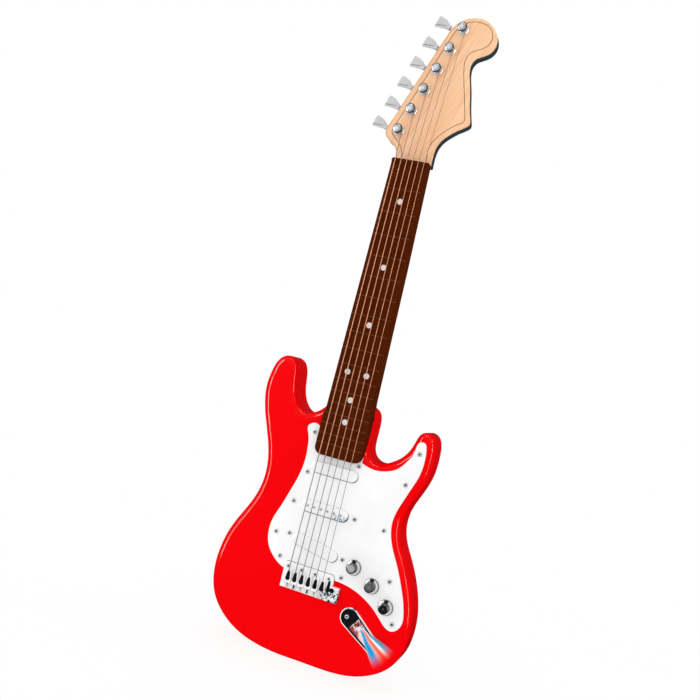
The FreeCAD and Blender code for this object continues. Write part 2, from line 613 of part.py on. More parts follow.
def neck_back():
    top = BOARD_TOP + BOARD_THICKNESS
    sections = [neck_section(NUT_HEIGHT, NUT_HALF_WIDTH, -17.0, -8.5),
                neck_section(400, board_half_width(400), -12.5, -5.0),
                neck_section(NECK_START, board_half_width(NECK_START), -11.5, -4.5)]
    shaft = positive(Part.makeLoft(sections, True, True))
    heel = box(-COLLAR_HALF_WIDTH, COLLAR_HALF_WIDTH, top, POCKET_FLOOR, BOARD_END + 1.0,
               COLLAR_TOP)
    corners = [edge for edge in heel.Edges if edge.BoundBox.ZMax < BOARD_END + 2
               and edge.BoundBox.YLength > 1]
    heel = heel.makeFillet(HEEL_CORNER, corners)
    root = box(-BODY_END_HALF_WIDTH, BODY_END_HALF_WIDTH, top, POCKET_FLOOR, COLLAR_TOP - 5,
               NECK_START)
    tongue = box(-12, 12, HEAD_FRONT + HEAD_PLATE, -9.6, NUT_HEIGHT - 8, NUT_HEIGHT + 26)
    solid = join([shaft, heel, root, tongue])
    holes = [rod(x, z, -21, POCKET_FLOOR + 1, 1.6) for x, z in NECK_SCREWS]
    holes += [rod(x, z, -20, 0, 1.1) for x, z in HEAD_SCREWS[:2]]
    return solid.cut(Part.makeCompound(holes))


# ---- Headstock --------------------------------------------------------------------------------
def head_edges(y, inset=0.0):
    """Outline of the headstock, with a straight end against the neck."""
    curve = smooth(HEAD_OUTLINE, y)
    if inset:
        curve = inset_outline(curve, inset, closed=False, samples=80)
    first, last = curve.value(curve.FirstParameter), curve.value(curve.LastParameter)
    return split_edges(curve, 12) + [Part.LineSegment(last, first).toShape()]


def headstock_front():
    solid = plate(head_edges(HEAD_FRONT), HEAD_PLATE)
    holes = []
    for i in range(STRING_COUNT):
        x, z = post_place(i)
        holes.append(rod(x, z, HEAD_FRONT - 1, HEAD_FRONT + HEAD_PLATE + 1, 5.0))
    return solid.cut(Part.makeCompound(holes))


def headstock_back():
    y = HEAD_FRONT + HEAD_PLATE
    solid = plate(head_edges(y), HEAD_BACK - y)
    around = [edge for edge in edges_at(solid, HEAD_BACK)
              if edge.BoundBox.ZMax > NUT_HEIGHT + 0.1]
    solid = solid.makeFillet(2.5, around)
    floor = HEAD_BACK - 2.2
    cavity = plate(head_edges(y, HEAD_WALL), floor - y)
    solid = solid.cut(cavity.common(box(-90, 90, -30, 10, NUT_HEIGHT + HEAD_WALL, 700)))
    pads = [rod(x, z, y + (5 if z < 530 else 0), HEAD_BACK - 0.5, 3.4) for x, z in HEAD_SCREWS]
    solid = join([solid] + pads)
    cuts = [box(-12.2, 12.2, y - 1, -9.4, NUT_HEIGHT - 1, NUT_HEIGHT + 27)]
    for i in range(STRING_COUNT):
        start, way = key_line(i)
        cuts.append(bar(start + way * 6.5, start + way * 22, KEY_SHAFT_RADIUS + RUNNING_GAP))
    for x, z in HEAD_SCREWS:
        cuts.append(rod(x, z, y - 1, HEAD_BACK + 1, 1.3))
        cuts.append(rod(x, z, HEAD_BACK - 1.6, HEAD_BACK + 1, 2.6))
    return solid.cut(Part.makeCompound(cuts))


def headstock_screws():
    screws = []
    for x, z in HEAD_SCREWS:
        tip = -13.5 if z < 530 else HEAD_FRONT + HEAD_PLATE + 0.4
        screws.append(screw(x, z, HEAD_BACK - 1.6, tip, 2.3, 1.4, 1.1, True))
    return Part.makeCompound(screws)


def key_line(index):
    """A point on a tuning key's axis, level with its post, and the direction outwards."""
    x, z = post_place(index)
    start = Vector(x, KEY_AXIS_Y, z) - key_across() * KEY_OFFSET
    return start, Vector(-math.cos(KEY_TILT), 0, math.sin(KEY_TILT))


def key_across():
    """Direction across a key's grip, along the headstock's edge."""
    return Vector(math.sin(KEY_TILT), 0, math.cos(KEY_TILT))


def tuner_bushings():
    rings = []
    for i in range(STRING_COUNT):
        x, z = post_place(i)
        inner = POST_RADIUS + RUNNING_GAP
        profile = [(inner, -HEAD_PLATE), (5.0, -HEAD_PLATE), (5.0, 0), (5.9, 0), (5.9, 0.9),
                   (5.3, 1.5), (inner, 1.5)]
        rings.append(turned(profile, x, z, HEAD_FRONT))
    return Part.makeCompound(rings)


def tuner_post(index):
    """Post with a waist for the string, and a crown wheel inside the headstock."""
    x, z = post_place(index)
    bottom, wheel_top, top = -11.6, -13.2, POST_TOP
    profile = [(0, -bottom), (5.4, -bottom), (5.4, -wheel_top), (POST_RADIUS, -wheel_top),
               (POST_RADIUS, 19.2), (WAIST_RADIUS, 19.8), (WAIST_RADIUS, 21.6),
               (POST_RADIUS - 0.2, 22.2),
               (POST_RADIUS - 0.2, -top - 0.4), (POST_RADIUS - 0.6, -top), (0, -top)]
    post = turned(profile, x, z, 0)
    slot = box(x - 0.6, x + 0.6, top - 1, top + 1.2, z - 5, z + 5)
    slot.rotate(Vector(x, 0, z), Y_AXIS, 25)
    return post.cut(slot)


def tuner_key(index):
    """Shaft with a pinion inside the headstock and a flared grip outside."""
    start, way = key_line(index)
    up = key_across()
    shaft = bar(start + way * 3.0, start + way * 20, KEY_SHAFT_RADIUS)
    pinion = bar(start + way * 3.0, start + way * 5.2, 2.1)
    collar = bar(start + way * 15.4, start + way * 18.0, 2.6)
    outline = [start + way * reach + up * half for reach, half in KEY_OUTLINE]
    for point in outline:
        point.y = KEY_AXIS_Y - 1.5
    grip = positive(Part.Face(Part.makePolygon(outline + outline[:1])).extrude(Vector(0, 3.0, 0)))
    grip = rounded(rounded(grip, 0.7, KEY_AXIS_Y - 1.5), 0.7, KEY_AXIS_Y + 1.5)
    return join([shaft, pinion, collar, grip])


# ---- Strings ----------------------------------------------------------------------------------
def guitar_string(index):
    """Taut string from its saddle over the nut to its post, with a turn round the post."""
    radius = 0.5 - 0.04 * index
    bridge_x, nut_x = string_x(index, BRIDGE_PITCH), string_x(index, NUT_PITCH)
    nut_z, level = NUT_HEIGHT - 2.75, -20.7
    x, z = post_place(index)
    ring = WAIST_RADIUS + 0.15 + radius
    reach = math.hypot(x - nut_x, z - nut_z)
    heading = math.atan2(z - nut_z, x - nut_x) - math.asin(ring / reach)
    run = math.sqrt(reach ** 2 - ring ** 2)

    def along(distance):
        return Vector(nut_x + distance * math.cos(heading), level,
                      nut_z + distance * math.sin(heading))

    def round_post(angle):
        turn = heading - math.pi / 2 + angle
        return Vector(x + ring * math.cos(turn), level, z + ring * math.sin(turn))

    places = [Vector(bridge_x, FRONT - BRIDGE_THICKNESS + 1.0, 84.3),
              Vector(bridge_x, BRIDGE_STRING_Y - 0.1, 86.0), Vector(nut_x, NUT_STRING_Y, nut_z),
              along(run - 5.0), along(run)]
    wrap = Part.Arc(round_post(0), round_post(math.radians(160)), round_post(math.radians(320)))
    return tube(places, radius, 2.0, wrap.toShape())


# ---- Knobs and lamp ---------------------------------------------------------------------------
def knob(x, z):
    """Skirted knob with a pointer notch, hollow for its shaft."""
    top = KNOB_HEIGHT
    profile = [(0, 0.5), (KNOB_SKIRT, 0.5), (KNOB_SKIRT, 2.4), (6.3, 3.4), (5.2, 4.2),
               (4.7, top - 0.8), (4.0, top), (0, top)]
    solid = turned(profile, x, z, GUARD_TOP)
    bore = rod(x, z, GUARD_TOP - 7.0, GUARD_TOP + 1, POT_SHAFT_RADIUS)
    notch = box(x - 0.5, x + 0.5, GUARD_TOP - top - 1, GUARD_TOP - top + 0.8, z, z + 5)
    ribs = []
    for i in range(24):
        angle = 2 * math.pi * i / 24
        ribs.append(rod(x + 7.6 * math.cos(angle), z + 7.6 * math.sin(angle), GUARD_TOP - 3,
                        GUARD_TOP + 0.5, 0.6))
    return solid.cut(Part.makeCompound([bore, notch] + ribs))


def pot_shaft(x, z):
    return rod(x, z, GUARD_TOP - 7.0, FRONT + WALL + 3, POT_SHAFT_RADIUS)


def potentiometers():
    units = []
    inner = FRONT + WALL
    for x, z in KNOBS.values():
        can = rod(x, z, inner, inner + 8, 8.0)
        neck = rod(x, z, GUARD_TOP + 0.1, inner, 4.1)
        bore = rod(x, z, GUARD_TOP - 1, inner + 3.3, POT_SHAFT_RADIUS + RUNNING_GAP)
        lugs = [box(x + dx - 1, x + dx + 1, inner + 1, inner + 1.8, z - 12, z - 7)
                for dx in (-4, 0, 4)]
        units.append(join([can, neck] + lugs).cut(bore))
    return Part.makeCompound(units)


def lamp_side(black_end):
    """Half space that splits the lamp's inside across its length."""
    (x1, z1, _), (x2, z2, _) = LAMP_LARGE, LAMP_SMALL
    heading = math.degrees(math.atan2(z2 - z1, x2 - x1))
    x, z = x1 + (x2 - x1) * LAMP_SPLIT, z1 + (z2 - z1) * LAMP_SPLIT
    side = box(x - 80 if black_end else x, x if black_end else x + 80, FRONT - 20, FRONT + 20,
               z - 40, z + 40)
    side.rotate(Vector(x, 0, z), Y_AXIS, -heading)
    return side


def light_rim():
    outer = tapered_slot(LAMP_LARGE, LAMP_SMALL, FRONT - 2.4, 2.4)
    outer = rounded(outer, 0.5, FRONT - 2.4)
    return outer.cut(tapered_slot(LAMP_LARGE, LAMP_SMALL, FRONT - 3, 4, inset=LAMP_RIM))


def light_cap():
    cap = tapered_slot(LAMP_LARGE, LAMP_SMALL, FRONT - 2.6, 2.6, inset=LAMP_RIM)
    cap = cap.common(lamp_side(True))
    return cap.cut(rod(*LAMP_SCREW, FRONT - 4, FRONT + 1, 0.9))


def light_lens():
    lens = tapered_slot(LAMP_LARGE, LAMP_SMALL, FRONT - 1.9, 1.9, inset=LAMP_RIM)
    return lens.common(lamp_side(False))


def led_unit():
    """Small board under the lamp with a red, a white and a blue light-emitting diode."""
    (x1, z1, _), (x2, z2, _) = LAMP_LARGE, LAMP_SMALL
    y = LAMP_BOARD
    board = tapered_slot((x1, z1, 7.5), (x2, z2, 5.0), y, 1.6)
    lamps = []
    for share in (0.45, 0.65, 0.85):
        x, z = x1 + (x2 - x1) * share, z1 + (z2 - z1) * share
        lamps.append(turned([(0, 0), (2.5, 0), (2.5, 1.0), (2.1, 3.0), (1.2, 4.1), (0, 4.5)],
                            x, z, y))
    return join([board] + lamps)


# ---- Electrics --------------------------------------------------------------------------------
def circuit_board():
    y = FRONT + WALL + 4
    board = box(-62, -30, y, y + 1.6, 123, 171)
    holes = [rod(x, z, y - 1, y + 3, 1.1) for x, z in BOARD_POSTS]
    back = y + 1.6
    chip = rod(-46, 150, back, back + 2.2, 6.0)
    capacitor = rod(-38, 138, back, back + 9.0, 3.0)
    driver = box(-57, -50, back, back + 2.0, 136, 142)
    socket = box(-56, -44, back, back + 5.0, 158, 162)
    return join([board.cut(Part.makeCompound(holes)), chip, capacitor, driver, socket])


def speaker():
    """Loudspeaker that faces the holes in the back wall."""
    x, z = SPEAKER
    y = BACK - WALL - 0.1
    profile = [(0, 12.5), (10, 12.5), (10, 7.5), (12, 7.0), (SPEAKER_RADIUS - 1.5, 2.5),
               (SPEAKER_RADIUS, 2.5), (SPEAKER_RADIUS, 0), (SPEAKER_RADIUS - 3, 0), (7, 3.0),
               (0, 1.4)]
    return turned(profile, x, z, y)


def battery_box():
    x0, x1, z0, z1 = box_hole(0)
    y1 = BACK - WALL
    tray = box(x0, x1, y1 - BOX_DEPTH, y1, z0, z1)
    inside = box(x0 + 1.5, x1 - 1.5, y1 - BOX_DEPTH + 1.5, y1 + 1, z0 + 1.5, z1 - 1.5)
    tray = tray.cut(inside)
    ribs = []
    for side in (-0.5, 0.5):
        x = BATTERY_BOX[0] + side * CELL_PITCH
        ribs.append(box(x - 0.2, x + 0.2, y1 - BOX_DEPTH, y1 - BOX_DEPTH + 4.0, z0, z1))
    x, z = DOOR_SCREW
    return join([tray] + ribs).cut(box(x - 3.3, x + 3.3, y1 - 2.6, y1 + 1, z - 3.3, z + 5))


def cell_places():
    y = BACK - WALL - BOX_DEPTH + 1.6 + CELL_RADIUS
    return [(BATTERY_BOX[0] + (i - 1) * CELL_PITCH, y) for i in range(3)]


def batteries():
    cells = []
    low = BATTERY_BOX[1] - CELL_LENGTH / 2 + 1.0
    for i, (x, y) in enumerate(cell_places()):
        can = Part.makeCylinder(CELL_RADIUS, CELL_LENGTH - 1.0, Vector(x, y, low), Z_AXIS)
        tip_z = low + CELL_LENGTH - 1.0 if i != 1 else low - 1.0
        tip = Part.makeCylinder(2.7, 1.0, Vector(x, y, tip_z), Z_AXIS)
        cells.append(can.fuse(tip))
    return Part.makeCompound(cells)


def battery_contacts():
    """Flat plates at one end of each cell and coil springs, drawn as cones, at the other."""
    pieces = []
    low, high = BATTERY_BOX[1] - BOX_HEIGHT / 2 + 1.5, BATTERY_BOX[1] + BOX_HEIGHT / 2 - 1.5
    cell_low = BATTERY_BOX[1] - CELL_LENGTH / 2 + 1.0
    cell_high = cell_low + CELL_LENGTH - 1.0
    for i, (x, y) in enumerate(cell_places()):
        flip = i == 1
        for at_top in (False, True):
            wall = high if at_top else low
            inward = -1 if at_top else 1
            end = cell_high if at_top else cell_low
            tip_here = at_top != flip
            sheet = box(x - 5, x + 5, y - 5, y + 5, min(wall, wall + inward * 0.6),
                        max(wall, wall + inward * 0.6))
            reach = abs(end - wall) - 0.6 - (1.0 if tip_here else 0.0)
            base = Vector(x, y, wall + inward * 0.6)
            cone = Part.makeCone(4.5, 2.4, reach, base, Vector(0, 0, inward))
            pieces.append(sheet.fuse(cone))
    return Part.makeCompound(pieces)


def battery_door():
    x0, x1, z0, z1 = box_hole(1.5 - DOOR_GAP)
    door = box(x0, x1, BACK - DOOR_THICKNESS, BACK, z0, z1)
    corners = [edge for edge in door.Edges if edge.BoundBox.YLength > 1
               and edge.BoundBox.ZLength < 0.01]
    door = door.makeFillet(2.0, corners)
    grooves = []
    for i in range(6):
        z = z0 + 10 + 2.2 * i
        grooves.append(box(BATTERY_BOX[0] - 9, BATTERY_BOX[0] + 9, BACK - 0.6, BACK + 1, z, z + 1.0))
    grooves.append(rod(*DOOR_SCREW, BACK - 4, BACK + 1, 1.3))
    grooves.append(rod(*DOOR_SCREW, BACK - 1.1, BACK + 1, 2.9))
    return door.cut(Part.makeCompound(grooves))


def battery_door_screw():
    return screw(*DOOR_SCREW, BACK - 1.1, BACK - 4.0, 2.6, 1.0, 1.2, True)


def switch_body():
    x, z = SWITCH
    y1 = BACK - WALL
    case = box(x - 9, x + 9, y1 - 6.5, y1, z - 4, z + 4)
    inside = box(x - 7.5, x + 7.5, y1 - 4.5, y1 + 1, z - 2.8, z + 2.8)
    legs = [box(x + dx - 0.5, x + dx + 0.5, y1 - 10, y1 - 6.5, z - 1, z + 1) for dx in (-4, 0, 4)]
    return join([case] + legs).cut(inside)


def switch_slider():
    x, z = SWITCH
    left = x - SWITCH_TRAVEL / 2
    y1 = BACK - WALL
    foot = box(left - 4.5, left + 4.5, y1 - 4.2, y1 - 1.0, z - 2.5, z + 2.5)
    grip = box(left - 2.8, left + 2.8, y1 - 1.0, BACK + 0.0, z - 2.2, z + 2.2)
    grooves = [box(left + dx - 0.3, left + dx + 0.3, BACK - 0.6, BACK + 1, z - 3, z + 3)
               for dx in (-1.6, 0, 1.6)]
    return join([foot, grip]).cut(Part.makeCompound(grooves))


def wiring():
    """Insulated leads between the battery box, switch, board, speaker, lamp and knobs."""
    radius = 0.6
    board_y = FRONT + WALL + 5.6 + radius + 0.1
    switch_y = BACK - WALL - 10
    routes = [
        [(18, 6, 149.3), (20, 5.5, 157), (28, 5.2, 165), (37, 6.8, 171), (43.4, 8, 172)],
        [(48, switch_y - 0.6, 172), (44, 1, 176), (30, -2, 181), (10, -3, 184), (-10, -3.4, 182),
         (-30, -3.6, 176), (-44, -4.2, 168), (-47, -5.1, 161)],
        [(-52, board_y, 127), (-53, -8, 119), (-57, -4, 108), (-59, 1, 98), (-60, 5.5, 88),
         (-60, 6.4, 80.2)],
        [(-40, board_y, 127), (-38, -8, 117), (-28, -6, 100), (-12, -5, 78), (8, -5.5, 62),
         (28, -8, 54), (44, -10.7, 55)],
        [(-34, board_y, 140), (-27, -8, 137), (-6, -6.5, 128), (16, -6.5, 112), (31, -9, 98),
         (37.5, -13.6, 95.8)],
    ]
    return Part.makeCompound([tube([Vector(*place) for place in route], radius)
                              for route in routes])


# ---- Export -----------------------------------------------------------------------------------
def build():
    blank, cavity = body_blank(), body_cavity()
    nodes = {
        "body_front_shell": front_shell(blank, cavity),
        "body_back_shell": back_shell(blank, cavity),
        "pickguard": pickguard(),
        "face_screws": face_screws(),
        "body_screws": body_screws(),
        "neck_screws": neck_screws(),
        "bridge_plate": bridge_plate(),
        "bridge_saddles": bridge_saddles(),
        "bridge_screws": bridge_screws(),
        "fretboard": fretboard(),
        "frets": frets(),
        "fret_dots": fret_dots(),
        "nut": nut(),
        "neck_back": neck_back(),
        "headstock_front": headstock_front(),
        "headstock_back": headstock_back(),
        "headstock_screws": headstock_screws(),
        "tuner_bushings": tuner_bushings(),
        "potentiometers": potentiometers(),
        "light_rim": light_rim(),
        "light_cap": light_cap(),
        "light_lens": light_lens(),
        "led_unit": led_unit(),
        "circuit_board": circuit_board(),
        "speaker": speaker(),
        "battery_box": battery_box(),
        "batteries": batteries(),
        "battery_contacts": battery_contacts(),
        "battery_door": battery_door(),
        "battery_door_screw": battery_door_screw(),
        "switch_body": switch_body(),
        "switch_slider": switch_slider(),
        "wiring": wiring(),
    }
    for name, (x, z, turn) in PICKUPS.items():
        nodes["pickup_cover_" + name] = pickup_cover(x, z, turn)
    for name, (x, z) in KNOBS.items():
        nodes["knob_" + name] = knob(x, z)
        nodes["pot_shaft_" + name] = pot_shaft(x, z)
    for i in range(STRING_COUNT):
        nodes[f"string_{i + 1}"] = guitar_string(i)
        nodes[f"tuner_post_{i + 1}"] = tuner_post(i)
        nodes[f"tuner_key_{i + 1}"] = tuner_key(i)
    return nodes


os.makedirs("parts", exist_ok=True)
for node, shape in build().items():
    if not shape.isValid() or shape.Volume <= 0:
        print("check this one:", node, shape.isValid(), round(shape.Volume, 1))
    print(node, len(shape.Solids), round(shape.Volume / 1000, 2), "cm3")
    shape.exportStep(f"parts/{node}.step")
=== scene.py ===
import math

import bmesh
import bpy
from mathutils import Matrix, Vector
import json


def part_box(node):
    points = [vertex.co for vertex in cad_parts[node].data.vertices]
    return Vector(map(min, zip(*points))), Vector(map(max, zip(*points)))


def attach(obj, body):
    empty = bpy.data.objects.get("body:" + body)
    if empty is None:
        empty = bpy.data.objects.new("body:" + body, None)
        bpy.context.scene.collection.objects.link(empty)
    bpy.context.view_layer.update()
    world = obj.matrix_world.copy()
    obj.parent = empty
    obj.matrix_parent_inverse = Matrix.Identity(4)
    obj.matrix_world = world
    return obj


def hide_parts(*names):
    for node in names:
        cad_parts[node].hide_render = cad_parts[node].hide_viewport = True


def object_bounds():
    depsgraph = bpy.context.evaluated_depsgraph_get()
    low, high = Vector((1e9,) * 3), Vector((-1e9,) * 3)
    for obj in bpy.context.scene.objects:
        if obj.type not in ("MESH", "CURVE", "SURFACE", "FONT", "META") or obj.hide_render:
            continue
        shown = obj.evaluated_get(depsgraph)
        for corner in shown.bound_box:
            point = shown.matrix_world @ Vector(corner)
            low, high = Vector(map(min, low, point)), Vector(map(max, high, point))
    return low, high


# Toy electric guitar. Sizes of pieces are millimetres in the CAD model's frame: +X right, -Y the
# side with the strings, +Z up the neck. MM turns them into metres. Shaders measure in metres.

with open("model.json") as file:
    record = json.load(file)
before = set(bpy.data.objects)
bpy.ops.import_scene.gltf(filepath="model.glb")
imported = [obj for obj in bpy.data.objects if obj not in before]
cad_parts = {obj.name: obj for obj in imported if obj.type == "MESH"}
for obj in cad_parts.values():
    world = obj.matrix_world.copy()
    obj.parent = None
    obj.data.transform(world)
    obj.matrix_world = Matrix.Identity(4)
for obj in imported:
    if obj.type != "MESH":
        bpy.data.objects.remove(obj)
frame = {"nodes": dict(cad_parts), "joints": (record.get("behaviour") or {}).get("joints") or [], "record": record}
cad_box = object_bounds()
nodes = frame["nodes"]
bodies_of_nodes = {n: b for b, ns in frame["record"]["behaviour"]["bodies"].items() for n in ns}
slots_of_nodes = {s["node"]: s["material_slot"] for s in frame["record"]["subparts"]}

MM = 0.001
X_AXIS, Y_AXIS, Z_AXIS = Vector((1, 0, 0)), Vector((0, 1, 0)), Vector((0, 0, 1))
FRONT_WAY = -Y_AXIS
WHITE = (1.0, 1.0, 1.0, 1.0)


def middle_of(node):
    """Middle of a CAD node, in millimetres."""
    low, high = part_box(node)
    return (low + high) / (2 * MM)


def front_of(node):
    """Y of a CAD node's front, in millimetres."""
    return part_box(node)[0].y / MM


# ---- Places that the new pieces need ------------------------------------------------------------
BODY_FRONT = front_of("body_front_shell")
GUARD_TOP = front_of("pickguard")
HEAD_FRONT = front_of("headstock_front")

STRING_COUNT = 6
BRIDGE_PITCH, BRIDGE_STRING_Z = 7.25, 86.0     # string spacing and height at the bridge
NUT_PITCH, NUT_Z = 6.0, 505.45                 # and at the nut
STRING_BRONZE = (0.204, 0.207)                 # metres up, where a string's colour turns to bronze
STRING_BROWN = (0.503, 0.51)                   # and where it turns browner

BRIDGE_HALF, BRIDGE_TOP, BRIDGE_CORNER = 26.4, 93.6, 3.6       # upper part of the plate
BRIDGE_GAP_ENDS = (86.5, 87.5)                 # where the painted shade in the gap round it stops, left and right
BRIDGE_FOOT = 67.6
BRIDGE_EAR_X, BRIDGE_EAR_TOP = 34.2, 82.6      # the plate's wider lower right end
BRIDGE_EAR_HOLE = (27.2, 79.5)                 # (x, z)
ARM_SLOT_AND_SHADE = (23.1, (78.2, 1.9), (87.2, 1.2))    # dark slot, partly the arm socket and partly painted shade beside the saddles: x, then (z, radius) of its two ends
# painted shade and reflection marks on the height screws: where they start, and the saddles whose marks are longer
SCREW_SHADE_TOP = 74.0
LONG_SCREW_SHADES = (1, 3)
SADDLE_WIDE, SADDLE_NARROW = (79.2, 2.4), (86.0, 1.35)     # (z, radius) of a mouth's two ends
SADDLE_MIDDLE = 82.0

PICKUP_TURN = {"neck": 0.0, "middle": 0.0, "bridge": -9.5}     # degrees
PICKUP_LENGTH, PICKUP_WIDTH = 49.0, 11.6
KNOB_TONES = {"volume": 0.5, "tone_1": 0.15, "tone_2": 0.012}  # grey of each knob's top, a painted reflection that differs from knob to knob
KNOB_RIBS = 20
SCREW_RECESS = 0.55              # radius of a screw head's dark middle, painted shade in its recess, as a share of the head's

# Tuning key: how far its grip stands from its axis at each reach along it, as (reach, width).
KEY_TILT = math.radians(20.0)
KEY_UPPER = [(17.0, 2.2), (18.8, 3.3), (21.0, 4.8), (23.6, 5.8), (27.2, 6.4), (31.4, 6.8),
             (32.2, 6.2)]
KEY_LOWER = [(17.0, 2.2), (22.0, 3.1), (27.0, 4.3), (31.2, 5.4), (32.2, 5.1)]
GRIP_START, GRIP_LENGTH = 17.0, 15.2
PINION_TEETH = 8

LAMP_LARGE, LAMP_SMALL = (50.3, 59.5, 9.7), (79.8, 39.0, 7.0)  # (x, z, radius) of its two ends
LAMP_SOURCE = (58.6, 56.9)       # (x, z) that the rays spread from
LAMP_CUT = 0.19                  # the window starts this far along the lamp

# Rays of the lamp, as (degrees from +X, colour).
RAYS = [
    (-75, (0.4, 0.06, 0.05)), (-67, (0.92, 0.68, 0.62)), (-54, (1.0, 0.82, 0.8)),
    (-51.5, (0.1, 0.42, 0.78)), (-46.5, (0.0, 0.33, 0.72)), (-42, (0.08, 0.42, 0.78)),
    (-39.5, (0.95, 0.5, 0.45)), (-36.5, (1.0, 0.25, 0.18)), (-33.5, (0.98, 0.14, 0.08)),
    (-31.5, (0.98, 0.2, 0.15)), (-29.5, (1.0, 0.9, 0.9)), (-27, (1.0, 0.92, 0.93)),
    (-24.5, (0.08, 0.42, 0.6)), (-20.5, (0.01, 0.38, 0.6)), (-18, (0.3, 0.5, 0.6)),
    (-14, (0.9, 0.7, 0.68))]
RAYS_SPAN = (math.radians(-75), math.radians(-5))
FAN_SPAN = (-62, -17)            # degrees that the staged fan of light covers
FAN_SIDES = ((-55, -51), (-21, -17))           # degrees over which its two sides fade
FAN_REACH = (13.0, 54.0)
FAN_HEIGHT = 3.0

# Line printed on the headstock, as (x, z).
HEAD_LINE = [
    (-13.2, 511.9), (-14.1, 517), (-16.6, 522.4), (-20.6, 527.5), (-26.2, 532.2), (-29.4, 536.4),
    (-28.8, 541.2), (-22.1, 560), (-12.6, 584.8), (-4.8, 607.2), (2.8, 628.4), (8.4, 643.6),
    (13.2, 651.6), (19.4, 656.4), (26.5, 658.6), (34, 658.2), (41.2, 655.8), (46.3, 650.8),
    (48.3, 644.2), (47, 637.9), (41.6, 632.6), (34.2, 629.2), (29, 624.9), (26.8, 618),
    (27.8, 609.4), (31.3, 595.4), (36.7, 576.2), (40.3, 562.8), (40.9, 558.2), (38.9, 555.6),
    (33.4, 552.6), (25.6, 546.2), (18.6, 538.5), (13.9, 531.4), (12, 525), (12.4, 517.4),
    (13.1, 511.9)]

# Faint line along the headstock's straight edge.
HEAD_EDGE = [
    (-19.5, 517.5), (-22.5, 522.8), (-28.2, 527.4), (-33.8, 532), (-35.6, 537), (-33.1, 545.2),
    (-24.5, 568), (-14.3, 595.3), (-5.3, 619.2), (2.1, 638.8), (6.9, 649.3)]


# ---- Shader helper ------------------------------------------------------------------------------
def set_range(node, start, end, low, high):
    """Makes a Map Range node spread start to end over low to high."""
    for name, value in (("From Min", start), ("From Max", end), ("To Min", low), ("To Max", high)):
        node.inputs[name].default_value = value


